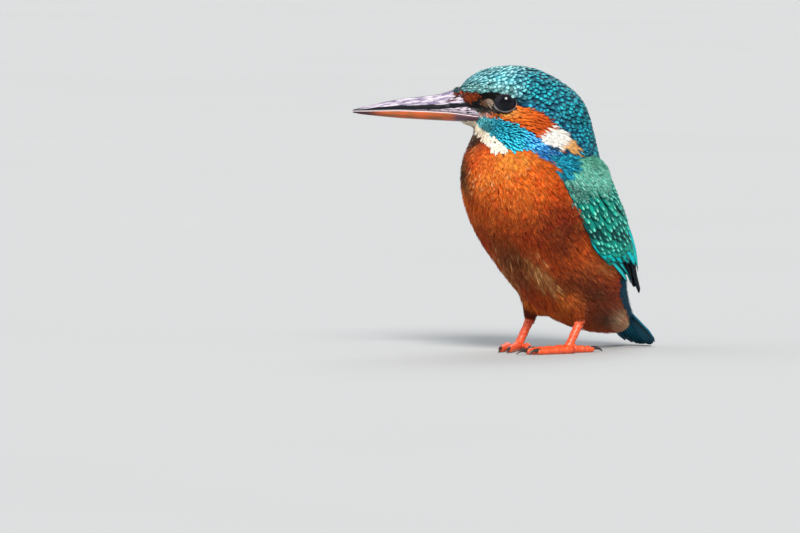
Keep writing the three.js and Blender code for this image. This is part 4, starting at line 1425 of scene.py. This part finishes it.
def skin_field(p):
    """The body and legs without feathers, with an opening for each eye, the bill's notch and flat soles."""
    legs = np.minimum(leg_field(p, "left"), leg_field(p, "right"))
    skin = blend(bird_field(p) + coat_depth(p), legs, 1.5)
    f, k = side_view(p)
    aside = np.abs((p - BETWEEN_EYES) @ LEFT)
    opening = (np.hypot(f / EYE_HOLE[0], (k - GAZE_UP) / EYE_HOLE[1]) - 1) * EYE_HOLE_FALL
    skin = np.maximum(skin, -np.maximum(opening, EYE_OUT - EYE_HOLE_IN - aside))
    return np.maximum(np.maximum(skin, notch_depth(f, k) - NOTCH_CLEAR), -p[..., 2])


def grid_line(low, high, places, gaps):
    """Grid places from low to high; the gap to the next one is interpolated from gaps at places."""
    line = [low]
    while line[-1] < high:
        line.append(line[-1] + float(np.interp(line[-1], places, gaps)))
    return np.array(line)


def surface_net(field, axes):
    """A quad mesh of the field's zero surface: one vertex for each cell of the grid that it crosses."""
    counts = np.array([len(line) for line in axes])
    values = np.empty(counts, np.float32)
    y, z = np.meshgrid(axes[1], axes[2], indexing="ij")
    for i, x in enumerate(axes[0]):
        values[i] = field(np.stack([np.full(y.shape, x), y, z], -1))
    total, spot = np.zeros(counts - 1), np.zeros((*(counts - 1), 3))
    edges = []
    for axis in range(3):
        step, aside, beside = np.roll(np.eye(3, dtype=int), -axis, 0)
        inside = np.moveaxis(values < 0, axis, 0)
        start = np.argwhere(np.moveaxis(inside[1:] != inside[:-1], 0, axis))
        a, b = values[tuple(start.T)], values[tuple((start + step).T)]
        crossing = start + step * (a / (a - b))[:, None].astype(float)
        cells = [tuple((start - offset).T) for offset in (0 * step, aside, aside + beside, beside)]
        for cell in cells:
            np.add.at(total, cell, 1)
            np.add.at(spot, cell, crossing)
        edges.append((cells, a < 0))
    used = total > 0
    number = np.full(total.shape, -1)
    number[used] = np.arange(used.sum())
    mean = spot[used] / total[used][:, None]
    verts = np.stack([np.interp(mean[:, i], np.arange(counts[i]), axes[i]) for i in range(3)], -1)
    quads = []
    for cells, rising in edges:
        quad = np.stack([number[cell] for cell in cells], -1)
        quads.append(np.where(rising[:, None], quad, quad[:, ::-1]))
    return verts, np.concatenate(quads)


# The grid is finest round the feet and fine over the head; the trunk between them lies under feathers.
SKIN_GRID = [
    grid_line(-29.0, 29.0, [-18, -17.5, -7, -6.5, 6.5, 7, 17.5, 18],
              [0.62, 0.3, 0.3, 0.62, 0.62, 0.3, 0.3, 0.62]),
    grid_line(-51.0, 32.0, [-29, -28, -1, 0], [0.55, 0.3, 0.3, 0.62]),
    grid_line(-0.75, 98.0, [11, 13, 66, 68], [0.3, 0.9, 0.9, 0.5]),
]
LONGEST_STEP = 0.3


def skin_mesh():
    """The skin's net, drawn close to the field in a few short steps."""
    verts, quads = surface_net(skin_field, SKIN_GRID)
    for _ in range(3):
        g = slope(skin_field, verts)
        step = -skin_field(verts) / np.maximum(dot(g, g), 0.3)
        verts = verts + g * np.clip(step, -LONGEST_STEP, LONGEST_STEP)[:, None]
    return verts, quads


TREE_ROWS, TREE_COLUMNS = (2 * axis.ravel() for axis in np.indices(((CHART_ROWS + 1) // 2, CHART_RAYS // 2)))
CHART_TREE = tree_of(BODY.grid[TREE_ROWS, TREE_COLUMNS, :3])
LEG_RED = srgb(238, 96, 48)
LEG_CREASE = srgb(190, 48, 20)
EYELID = srgb(22, 20, 23)
ANKLE_BARE, TOES_UNDER, HEAD_OVER = (9.5, 13), 3.2, 70


def skin_colours(verts):
    """The feathers' own colours where feathers grow, red scaly legs and a dark ring round each eye."""
    found = np.array([CHART_TREE.find(point)[1] for point in verts])
    ground, mark, _ = body_colours(TREE_ROWS[found].astype(float), TREE_COLUMNS[found].astype(float))
    ground = (ground * 0.75 + mark * 0.2) * 0.85
    height = verts[:, 2]
    fields = {word: leg_field(verts, word) for word in SIDES}
    bare = smoothstep(-height, -ANKLE_BARE[1], -ANKLE_BARE[0]) * (np.minimum(*fields.values()) < 0.6)
    for word, field in fields.items():
        crease = smoothstep(-scutes(height), -0.15, 0.3) * (height > TOES_UNDER)
        for name in TOES:
            base, _, ahead = toe_line(word, name)
            on_toe = (toe_field(verts, word, name) < 0.15) & (height < TOES_UNDER)
            walk = np.clip((verts - base) @ ahead, 0, TOES[name]["length"])
            crease = np.maximum(crease, smoothstep(-scutes(walk), -0.15, 0.3) * on_toe)
        red = mix_in(LEG_RED, (LEG_CREASE, 0.7 * crease))
        near = smoothstep(-field, -0.8, -0.4) * bare > 0.01
        ground = mix_in(ground, (red, bare * near))
    return mix_in(ground, (EYELID, smoothstep(-eye_gap(verts), -4.1, -3.7) * (height > HEAD_OVER)))


def skin_build(graph):
    place = graph.place()
    fine = graph.noise(2600.0, place, 3.0)
    grey = graph.mix(fine, (0.72, 0.72, 0.72), (1.0, 1.0, 1.0))
    colour = graph.mix(1.0, graph.attribute("ground"), grey, "MULTIPLY")
    blood = graph.noise(420.0, place) * 0.25
    graph.finish(Base_Color=graph.mix(blood, colour, (0.25, 0.02, 0.01), "SOFT_LIGHT"),
                 Normal=graph.bump(fine, 0.5, 0.0001))


# Rings of a lid from the ball outwards: share of the opening, height over the ball, and paleness, which shows
# only as painted highlights where LID_LIGHTS place them.
LID = [(0.95, -0.5, 0), (0.97, 0.02, 0), (1.0, 0.13, 0), (1.025, 0.19, 0.1), (1.05, 0.24, 1),
       (1.085, 0.26, 1), (1.12, 0.22, 1), (1.15, 0.14, 0.1), (1.22, 0.1, 0), (1.32, -0.1, 0), (1.45, -0.8, 0)]
# Painted highlights on the rim, where it would catch the light: angle from straight ahead over the top, width
# in radians, and strength.
LID_LIGHTS = [(3.4, 0.55, 1.0), (5.75, 0.35, 0.9), (4.6, 0.7, 0.5)]
LID_TURNS, LID_BEADS = 120, 30
OPENING = (3.55, 2.78)


def lid_ring(side):
    """A lid's rim round the eye's opening: points, faces, and the painted highlight on its pale rim at each
    point.
    """
    share, rise, light = np.array(LID).T[..., None]
    a = TAU * np.arange(LID_TURNS) / LID_TURNS
    bead = 1 + 0.012 * np.sin(a * LID_BEADS) * ((share > 1.02) & (share < 1.13))
    f = OPENING[0] * np.cos(a) * share * bead
    k = OPENING[1] * np.sin(a) * share * bead - 0.14 * np.cos(a) ** 2
    ball_out = np.sqrt(np.maximum(EYE_RADIUS**2 - f * f - k * k, 0.4)) + EYE_OUT
    lit = sum(much * np.exp(-(((a - middle) / wide) ** 2)) for middle, wide, much in LID_LIGHTS)
    pale = light * np.minimum(lit, 1) * (0.75 + 0.25 * np.sin(a * LID_BEADS))
    verts = head(f, side * (ball_out + rise), k + GAZE_UP).reshape(-1, 3)
    return verts, loft_faces(len(LID), LID_TURNS)[:, ::side], pale.ravel()


skin_verts, skin_quads = skin_mesh()
lid_painted_highlight = np.zeros(len(skin_verts))
for side in SIDES.values():
    verts, faces, pale = lid_ring(side)
    skin_quads = np.concatenate([skin_quads, faces + len(skin_verts)])
    skin_verts = np.concatenate([skin_verts, verts])
    lid_painted_highlight = np.concatenate([lid_painted_highlight, pale])
LEG_PARTS = ["thigh", "tarsus", *(f"toe_{name}" for name in TOES)]
SKINNED = ["head", "neck", "trunk", *(f"{part}_{word}" for word in SIDES for part in LEG_PARTS)]
SKIN = material("skin", skin_build, roughness=0.36)
skin = new_piece("skin", skin_verts, [skin_quads], SKIN, SKINNED)
# The lids' rims are painted pale only where highlights fall on them.
store(skin, "ground", mix_in(skin_colours(skin_verts), (srgb(226, 218, 214), lid_painted_highlight)))


# ---------------------------------------------------------------- wings

WING_MM = 73.3
WING_DARK = srgb(4, 84, 84)
WING_GREEN = srgb(14, 150, 130)
SPOT = srgb(112, 244, 214)
CYAN = srgb(16, 196, 200)
QUILL = srgb(4, 8, 13)
BED_ROWS = WING_ROWS - 34
PRIMARIES, SECONDARIES, ACROSS_SAMPLES = 9, 11, 40


def wing_share(row, column):
    """Shares of the way along and across a wing, from its chart's rows and columns."""
    return row / (WING_ROWS - 1), column / (WING_COLUMNS - 1)


def wing_bulge(row, column):
    """How far the flight feathers stand off the rump: most over the middle of the wing's lower end."""
    along, across = wing_share(row, column)
    height = np.interp(along, [0.42, 0.52, 0.6, 0.7, 0.8, 0.9, 1], [0, 0.9, 1.9, 2.3, 1.4, 0.5, 0])
    return height * smoothstep(across, 0.08, 0.45) * (1 - 0.8 * smoothstep(across, 0.75, 1))


def wing_lines(chart, row, column, length, under, over, drift, turn):
    """Mid-lines over a folded wing: from `under` to `over`, as shares of the wing's thickness there."""
    def aim(point, down, normal, row, column):
        way = unit(down)
        return unit(way + np.cross(way, normal) * (np.tan(turn) + drift)[:, None])

    def height(row, column, share):
        thick = wing_thickness(*np.clip(wing_share(row, column), 0, 1))
        return thick * (under + (over - under) * share) + wing_bulge(row, column)

    return comb(chart, row, column, length, aim, height)


def wing_bed(word):
    """The wing's body under its feathers: a thin closed shell on the wing's chart."""
    rows, columns = np.meshgrid(np.arange(0, BED_ROWS, 2), np.arange(2, WING_COLUMNS - 2, 2), indexing="ij")
    index = np.arange(rows.size).reshape(rows.shape)
    r, c = rows.ravel().astype(float), columns.ravel().astype(float)
    point, _, _, normal = WINGS[word].at(r, c)
    thick, bulge = wing_thickness(*wing_share(r, c)), wing_bulge(r, c)
    verts = np.concatenate([point + normal * height[:, None] for height in (thick * 0.42 + bulge, bulge)])
    top = np.stack([index[:-1, :-1], index[:-1, 1:], index[1:, 1:], index[1:, :-1]], -1).reshape(-1, 4)
    rim = np.concatenate([index[0, :], index[1:, -1], index[-1, -2::-1], index[-2:0:-1, 0]])
    after = np.roll(rim, -1)
    walls = np.stack([after, rim, rim + rows.size, after + rows.size], -1)
    return verts, np.concatenate([top, top[:, ::-1] + rows.size, walls])[:, :: SIDES[word]]


def dress_wing(chart):
    """Coverts, secondaries and primaries of one wing, as (coverts, flights)."""
    coverts, flights = Coat(), Coat()

    def lay(on, template, along, across, length, width, thick, under, over, ground, mark, turn, drift=0.0):
        full = np.ones(len(along))
        row, column = along * (WING_ROWS - 1), across * (WING_COLUMNS - 1)
        turned = random.normal(0, turn, len(along))
        lines = wing_lines(chart, row, column, length * full, under * full, over * full, drift * full, turned)
        sag = sideways_sag(chart, row, column, lines[2][:, 2], width * full)
        ground, mark = (np.broadcast_to(colour, (len(along), 3)) for colour in (ground, mark))
        on.add(template, lines, width * full, thick * full, sag, unwrap(across, along), ground, mark)

    def rows(first, last, gap, low, high, spread):
        """Staggered places: rows `gap` apart along the wing, `spread` mm apart across it."""
        samples = np.linspace(low, high, ACROSS_SAMPLES)
        found, along = [], first
        while along < last:
            row = np.full(ACROSS_SAMPLES, along * (WING_ROWS - 1))
            walk = walk_along(chart.at(row, samples * (WING_COLUMNS - 1))[0])
            places = np.arange(0.5 * spread * (0.5 + len(found) % 2), walk[-1], spread)
            places = places + random.normal(0, 0.05 * spread, len(places))
            across = np.clip(np.interp(places, walk, samples), 0, 1)
            found.append((along + random.normal(0, 0.1 * gap, len(places)), across))
            along += gap
        return [np.concatenate(values) for values in zip(*found)]

    # Primaries: the lowest layer, reaching the wing's tip; the two along its lower edge are bright.
    for n in range(PRIMARIES):
        bright = n < 2
        ground, mark = (srgb(48, 222, 222), QUILL) if bright else (QUILL, srgb(12, 44, 60))
        reach = (22.0, 25.0, 27.0)[n] if n < 3 else 33.0 - 1.2 * n
        lay(flights, LONG_VANE, np.array([0.5 + 0.012 * n]), np.array([0.06 + 0.1 * n]), reach,
            0.8 if bright else 1.9, 0.2, 0.5 - 0.03 * n, 1.25 - 0.03 * n, ground, mark, turn=0.01,
            drift=(0.06, 0.02)[n] if bright else 0.0)
    # Secondaries: bright outer webs with a black rim, seen as long streaks along the wing's lower end.
    for n in range(SECONDARIES):
        bright = mix_in(CYAN, (srgb(20, 176, 160), 0.6 * (n % 2)), (srgb(8, 120, 134), 0.45 * (n > 6)))
        root = np.interp(n, [0, 4, 10], [0.39, 0.4, 0.34])
        tip = np.interp(n, [0, 3, 5, 8, 10], [0.571, 0.63, 0.72, 0.78, 0.8])
        lay(flights, LONG_VANE, np.array([root]), np.array([0.03 + 0.088 * n]), WING_MM * (tip - root),
            np.interp(n, [0, 4, 6], [1.4, 1.5, 1.95]), 0.22, 0.5, 1.0 + 0.1 * max(n - 4, 0), bright,
            srgb(4, 92, 100), turn=0.015)
    # Coverts: rows of small spotted feathers from the shoulder down, shorter towards the back.
    along, across = rows(0.08, 0.49, 0.034, 0.02, 0.98, 2.1)
    shorter_above = along < 0.49 - 0.13 * smoothstep(across, 0.4, 0.62)
    along, across = along[shorter_above], across[shorter_above]
    count = len(along)
    # A painted sheen: the coverts near the wing's upper edge, halfway down it, are brighter teal.
    sheen = smoothstep(across, 0.5, 0.9) * smoothstep(along, 0.3, 0.5)
    ground = mix_in(WING_DARK, (WING_GREEN, random.uniform(0.2, 1, count)), (srgb(14, 156, 156), 0.8 * sheen))
    slant = along - 0.2 * across
    dark = np.clip(np.exp(-((slant - 0.3) / 0.03) ** 2) + 0.7 * np.exp(-((slant - 0.2) / 0.02) ** 2), 0, 1)
    dark = dark * (random.uniform(0, 1, count) < 0.75)
    ground = mix_in(ground, (srgb(2, 40, 46), 0.9 * dark))
    plain = np.maximum(0.6 * dark, smoothstep(along, 0.4, 0.46))
    plain = np.maximum(random.uniform(0, 0.45, count), plain)
    mark = mix_in(SPOT, (srgb(140, 226, 196), 1 - smoothstep(along, 0.2, 0.4)), (ground, plain))
    length = np.interp(along, [0, 0.3, 0.6], [5.1, 6.1, 6.8])
    width = np.interp(along, [0, 0.3, 0.6], [1.14, 1.3, 1.45])
    over = np.interp(along, [0, 0.6], [1.08, 1.1])
    lay(coverts, VANE, along, across, length, width, 0.08, 0.45, over, ground, mark, turn=0.1)
    return coverts, flights


def bed_build(graph):
    fine = graph.noise(1800.0, graph.place(), 3.0)
    graph.finish(Base_Color=graph.mix(fine, WING_DARK * 0.4, WING_GREEN * 0.6),
                 Normal=graph.bump(fine, 0.5, 0.0001))


WING_SPOTS = feather_material("wing_spotted", spot=(0.7, 0.98, 0.38), rim=0.28, root_dark=0.1)
FLIGHT = feather_material("flight_feathers", edge=0.3, rim=0.5, tip_dark=0.85, root_dark=0.1, roughness=0.6,
                          specular=0.04, barb=160.0)
BED = material("wing_bed", bed_build, roughness=0.6, specular=0.3)
for word, chart in WINGS.items():
    verts, quads = wing_bed(word)
    new_piece(f"wing_{word}_bed", verts, [quads], BED, [f"wing_{word}"])
    coverts, flights = dress_wing(chart)
    flights.piece(f"wing_{word}_flights", FLIGHT, "wing_plumage")
    coverts.piece(f"wing_{word}_coverts", WING_SPOTS, "wing_plumage")


# ---------------------------------------------------------------- tail

TAIL_PAIRS, TAIL_STATIONS, TAIL_COVERED = 6, 9, 0.12


def bow(start, bend, end, share):
    """Points and unit tangents of a quadratic curve at shares of its length."""
    start, bend, end, t = *(np.asarray(point, float) for point in (start, bend, end)), share[:, None]
    point = start * (1 - t) ** 2 + 2 * bend * t * (1 - t) + end * t * t
    return point, unit((bend - start) * (1 - t) + (end - bend) * t)


def tail_feather(made, pair, side):
    """Adds one tail feather; pair 0 lies in the middle and on top."""
    outward = pair / (TAIL_PAIRS - 1)
    share = TAIL_COVERED + (1 - 0.085 * outward**3 - TAIL_COVERED) * np.linspace(0, 1, TAIL_STATIONS)
    centre, tangent = bow((0, *TAIL_ROOT), (0, *TAIL_BEND), (0, *TAIL_TIP), share)
    over = np.stack([0 * share, -tangent[:, 2], tangent[:, 1]], -1)
    spread = (0.12 + 0.88 * outward) * (0.35 + 0.65 * smoothstep(share, 0.1, 0.8))
    aside = side * (profile(TAIL_HALF_WIDTH, share) - 1.9) * spread
    drop = 1.1 * (aside / 9) ** 2 * np.sin(math.pi * np.minimum(share, 0.75))
    centre = centre + over * (0.42 - 0.14 * pair + 0.03 * side - drop)[:, None]
    centre[:, 0] = aside
    centre[:, 2] = np.maximum(centre[:, 2], 0.12)
    across = unit(np.cross(unit(np.gradient(centre, axis=0)), over))
    width, ground = (2.15, srgb(22, 76, 92)) if pair == 0 else (2.05, srgb(20, 58, 70))
    made.add(LONG_VANE, (centre[None], over[None], across[None]), np.array([width]), np.array([0.24]),
             np.array([0.012]), np.array([[0.1 + 0.13 * pair, 0.5 + 0.2 * side]]), ground[None],
             srgb(28, 120, 150)[None])


tail = Coat()
for pair in range(TAIL_PAIRS):
    for side in (-1, 1):
        tail_feather(tail, pair, side)
TAIL = feather_material("tail_feathers", edge=0.5, root_dark=0.2, barb=160.0)
tail.piece("tail_feathers", TAIL, "tail_plumage", ["tail"])


# ---------------------------------------------------------------- bill, eyes and claws

BILL_START, BILL_END, BILL_STATIONS, BILL_ARCS = 9.0, 51.4, 90, 16
BILL_GAP, BILL_SMOOTHINGS = 0.12, 14
NOSTRIL = dict(f=18.4, long=1.5, height=0.52, high=0.13)


def tube_faces(rings, sides):
    """Quads along a tube of closed rings, and a face over each of its ends."""
    first = np.arange(sides)[None]
    return [loft_faces(rings, sides), first[:, ::-1], first + (rings - 1) * sides]


def bill_half(upper):
    """Points and faces of half the bill, and how high each point lies from the mouth to the crest."""
    reach = np.linspace(BILL_START, BILL_END, BILL_STATIONS)
    mouth = profile(MOUTH_LINE, reach) + (BILL_GAP if upper else -BILL_GAP)
    crest = profile(CULMEN if upper else GONYS, reach)
    half = profile(BILL_HALF_WIDTH, reach)
    for _ in range(BILL_SMOOTHINGS):
        for line in (mouth, crest, half):
            line[1:-1] = np.convolve(line, [0.25, 0.5, 0.25], "same")[1:-1]
    a = math.pi * np.arange(BILL_ARCS + 1) / BILL_ARCS
    height = np.sin(a) ** 0.85 + 0 * reach[:, None]
    wide = half[:, None] * np.cos(a)
    f = reach[:, None] + 0 * a
    if upper:
        ahead, above = f - NOSTRIL["f"], height - NOSTRIL["height"]
        nostril = np.exp(-((ahead / NOSTRIL["long"]) ** 2) - (above / NOSTRIL["high"]) ** 2)
        groove = smoothstep(f, 17, 19) * (1 - smoothstep(f, 30, 42)) * np.exp(-((height - 0.4) / 0.14) ** 2)
        wide = wide * (1 - 0.16 * nostril - 0.0875 * groove)
    verts = head(f, wide, mouth[:, None] + (crest - mouth)[:, None] * height)
    faces = [group[:, :: 1 if upper else -1] for group in tube_faces(BILL_STATIONS, BILL_ARCS + 1)]
    return verts.reshape(-1, 3), faces, height.ravel()


def horn_build(upper):
    """Black horn with a painted lilac highlight along its ridge and a pale one low by its base,
    or orange horn with a dusky tip and a painted pale highlight along its upper edge.
    """
    def build(graph):
        place, share = graph.place(), graph.attribute("share", "Fac")
        ahead = graph.node("VectorMath", ((0, place), (1, FORWARD)), "Value", operation="DOT_PRODUCT")
        forward = (ahead - float((BETWEEN_EYES + SHIFT) @ FORWARD) * MM) * (1 / MM)
        grain = graph.noise(1.0, graph.stretch(place, (500, 500, 3400)), 3.0)

        def lengthwise(per_mm, per_height):
            joined = graph.node("CombineXYZ", ((0, forward * per_mm), (1, share * per_height)))
            return graph.noise(1.0, joined, 3.0)

        def paint(colour, *layers):
            for tint, weight in layers:
                colour = graph.mix(weight, colour, tint)
            return colour

        if upper:
            streaks, scratch = lengthwise(0.22, 7.0), lengthwise(0.6, 22.0)
            # Painted highlight: a lilac gleam along the ridge, broken by fine streaks.
            ridge = (share + (streaks - 0.5) * 0.16).ramp(0.37, 0.44) * (1.0 - share.ramp(0.97, 0.995))
            gleam = ridge * forward.ramp(11.0, 15.0) * (1.0 - forward.ramp(47.0, 51.0))
            gleam = gleam * (1.0 - scratch.ramp(0.57, 0.64) * 0.75)
            gleam_colour = graph.mix(streaks.ramp(0.4, 0.6), srgb(130, 118, 148), srgb(210, 200, 212))
            nostril = forward.band(16.4, 19.8, 0.5) * share.band(0.5, 0.57, 0.03)
            # Painted highlight: a pale rim low on the upper bill by its base.
            low = 1.0 - (share - forward.ramp(26.0, 12.0) * 0.17).ramp(0.06, 0.1)
            rim = low * forward.ramp(34.0, 20.0) * scratch.ramp(0.4, 0.5)
            colour = paint(graph.mix(grain, (0.003, 0.003, 0.006), (0.008, 0.007, 0.013)),
                           (gleam_colour, gleam * 0.88),
                           (srgb(84, 34, 30), nostril),
                           (srgb(224, 206, 222), rim * 0.85))
        else:
            patchy = lengthwise(0.12, 2.0).ramp(0.4, 0.6)
            colour = paint(graph.mix(patchy, srgb(148, 92, 52), srgb(206, 98, 52)),
                           (srgb(150, 62, 28), grain * 0.4),
                           (srgb(96, 66, 78), 1.0 - forward.ramp(15.5, 19.0)),
                           (srgb(66, 42, 46), forward.ramp(39.0, 47.0)),
                           # painted highlight along the lower bill's upper edge
                           (srgb(216, 190, 196), 1.0 - share.ramp(0.03, 0.14)),
                           (srgb(120, 50, 30), share.ramp(0.75, 1.0) * 0.35))
        graph.finish(Base_Color=colour, Roughness=grain * 0.22 + 0.14, Normal=graph.bump(grain, 0.25, 0.0001))

    return build


for half, upper in (("upper", True), ("lower", False)):
    verts, faces, shares = bill_half(upper)
    horn = material(f"{half}_bill_horn", horn_build(upper), 0.25, 0.25, coat=0.04, coat_roughness=0.08)
    piece = new_piece(f"{half}_bill", verts, faces, horn, [f"bill_{half}"])
    store(piece, "share", shares)

BALL_RINGS, BALL_TURNS = 40, 64


def eyeball(side):
    """Points and faces of a sphere, and each point's distance from the axis through both eyes."""
    radius = EYE_RADIUS - 0.05
    polar = math.pi * np.arange(1, BALL_RINGS)[:, None] / BALL_RINGS
    angle = TAU * np.arange(BALL_TURNS) / BALL_TURNS
    reach = radius * np.sin(polar) + 0 * angle
    rings = head(reach * np.cos(angle), side * EYE_OUT + radius * np.cos(polar) + 0 * angle,
                 GAZE_UP - reach * np.sin(angle)).reshape(-1, 3)
    poles = head(np.zeros(2), side * EYE_OUT + np.array([radius, -radius]), np.full(2, GAZE_UP))
    here = np.arange(BALL_TURNS)
    after, last, top = np.roll(here, -1), (BALL_RINGS - 2) * BALL_TURNS, np.full(BALL_TURNS, len(rings))
    tris = np.concatenate([np.stack(corners, -1) for corners in ((top, after, here),
                                                                 (top + 1, last + here, last + after))])
    faces = [loft_faces(BALL_RINGS - 1, BALL_TURNS), tris]
    return np.concatenate([rings, poles]), faces, np.append(reach, [0, 0])


def eye_build(graph):
    """A black pupil in a hardly lighter iris with a dark rim."""
    reach = graph.attribute("reach", "Fac")
    fibres = graph.noise(1.0, graph.stretch(graph.place(), (2500, 2500, 2500)), 3.0)
    iris = graph.mix(fibres, (0.004, 0.004, 0.009), (0.008, 0.007, 0.015))
    colour = graph.mix(reach.ramp(1.9, 2.2), (0.0015, 0.0013, 0.003), iris)
    graph.finish(Base_Color=graph.mix(reach.ramp(3.0, 3.5), colour, (0.004, 0.003, 0.005)))


EYE = material("eye", eye_build, roughness=0.05, specular=0.24)
for word, side in SIDES.items():
    verts, faces, reach = eyeball(side)
    piece = new_piece(f"eyeball_{word}", verts, faces, EYE, [f"eye_{word}"])
    store(piece, "reach", reach)

CLAW_RINGS, CLAW_SIDES = 14, 12


def claw_mesh(word, name):
    """A claw that rises from the toe's end and bows down to its point on the floor."""
    _, end, ahead = toe_line(word, name)
    long = TOES[name]["claw"]
    root, bend, point = (end + ahead * forward for forward in (-0.5, 0.3 + long * 0.55, 0.3 + long))
    root[2], bend[2], point[2] = 1.2, 2.1, 0.2
    share = np.linspace(0, 1, CLAW_RINGS)
    centre, along = bow(root, bend, point, share)
    aside = unit(np.cross(along, UP))
    radius = (0.82 * (1 - share) ** 0.7 + 0.05)[:, None, None]
    a = (TAU * np.arange(CLAW_SIDES) / CLAW_SIDES)[:, None]
    across, up = aside[:, None] * 0.8 * np.cos(a), np.cross(aside, along)[:, None] * np.sin(a)
    verts = (centre[:, None] + radius * (across + up)).reshape(-1, 3)
    verts[:, 2] = np.maximum(verts[:, 2], 0.02)
    return verts, tube_faces(CLAW_RINGS, CLAW_SIDES)


def claw_build(graph):
    grain = graph.noise(2500.0, graph.place())
    graph.finish(Base_Color=graph.mix(grain, (0.016, 0.011, 0.010), (0.06, 0.035, 0.028)),
                 Normal=graph.bump(grain, 0.2, 0.00005))


CLAW = material("claw", claw_build, roughness=0.3, coat=0.2)
for word in SIDES:
    for name in TOES:
        verts, faces = claw_mesh(word, name)
        new_piece(f"nail_{name}_{word}", verts, faces, CLAW, [f"claw_{name}_{word}"])


# ---------------------------------------------------------------- floor, light and camera

FLOOR_HALF = 30.0


def floor_build(graph):
    tone = graph.noise(3.0, graph.place())
    graph.finish(Base_Color=graph.mix(tone, (0.40, 0.405, 0.41), (0.43, 0.435, 0.44)))


floor_mesh = bpy.data.meshes.new("floor")
corners = [(x * FLOOR_HALF, y * FLOOR_HALF, 0) for x, y in ((-1, -1), (1, -1), (1, 1), (-1, 1))]
floor_mesh.from_pydata(corners, [], [(0, 1, 2, 3)])
floor = bpy.data.objects.new("floor", floor_mesh)
bpy.context.scene.collection.objects.link(floor)
floor_mesh.materials.append(material("floor", floor_build, roughness=0.9, specular=0.1))

scene = bpy.context.scene
CAMERA_AZIMUTH, CAMERA_RISE, CAMERA_FAR = 45, 3, 3.0
FRAME_WIDTH, SENSOR_MM = 0.2712, 36
AIM_RIGHT, AIM_UP = -56.3, 28.3


def toward(azimuth, rise):
    """The unit way towards a place seen at an azimuth from -Y towards +X and a rise, in degrees."""
    a, e = math.radians(azimuth), math.radians(rise)
    return np.array([math.sin(a) * math.cos(e), -math.cos(a) * math.cos(e), math.sin(e)])


def put(name, data, place, target):
    """Adds a camera or lamp at a place, looking at a target."""
    made = bpy.data.objects.new(name, data)
    scene.collection.objects.link(made)
    made.location = Vector(place)
    made.rotation_mode = "QUATERNION"
    made.rotation_quaternion = (Vector(target) - Vector(place)).to_track_quat("-Z", "Y")
    return made


def lamp(name, azimuth, rise, softness, strength, colour):
    """A distant lamp: where it stands, the angle it spreads over, and its light in watts a square metre."""
    light = bpy.data.lights.new(name, "SUN")
    light.angle = math.radians(softness)
    light.energy = strength
    light.color = colour
    put(name, light, toward(azimuth, rise), np.zeros(3))


back = toward(CAMERA_AZIMUTH, CAMERA_RISE)
right = toward(CAMERA_AZIMUTH + 90, 0)
aim = (right * AIM_RIGHT + np.cross(back, right) * AIM_UP + SHIFT) * MM
lens = bpy.data.cameras.new("camera")
lens.sensor_width = SENSOR_MM
lens.lens = SENSOR_MM * CAMERA_FAR / FRAME_WIDTH
lens.clip_start, lens.clip_end = 0.1, 100
scene.camera = put("camera", lens, aim + back * CAMERA_FAR, aim)
lamp("key", 52, 42, 22, 4.3, (1.0, 0.97, 0.92))
lamp("fill", -40, 35, 60, 0.7, (0.92, 0.96, 1.0))
lamp("back", 205, 45, 40, 1.2, (0.95, 0.98, 1.0))

world = bpy.data.worlds.new("studio")
world.use_nodes = True
background = world.node_tree.nodes["Background"].inputs
background["Color"].default_value = (0.88, 0.92, 0.97, 1)
background["Strength"].default_value = 0.5
scene.world = world
scene.view_settings.view_transform = "Standard"
scene.view_settings.look = "None"
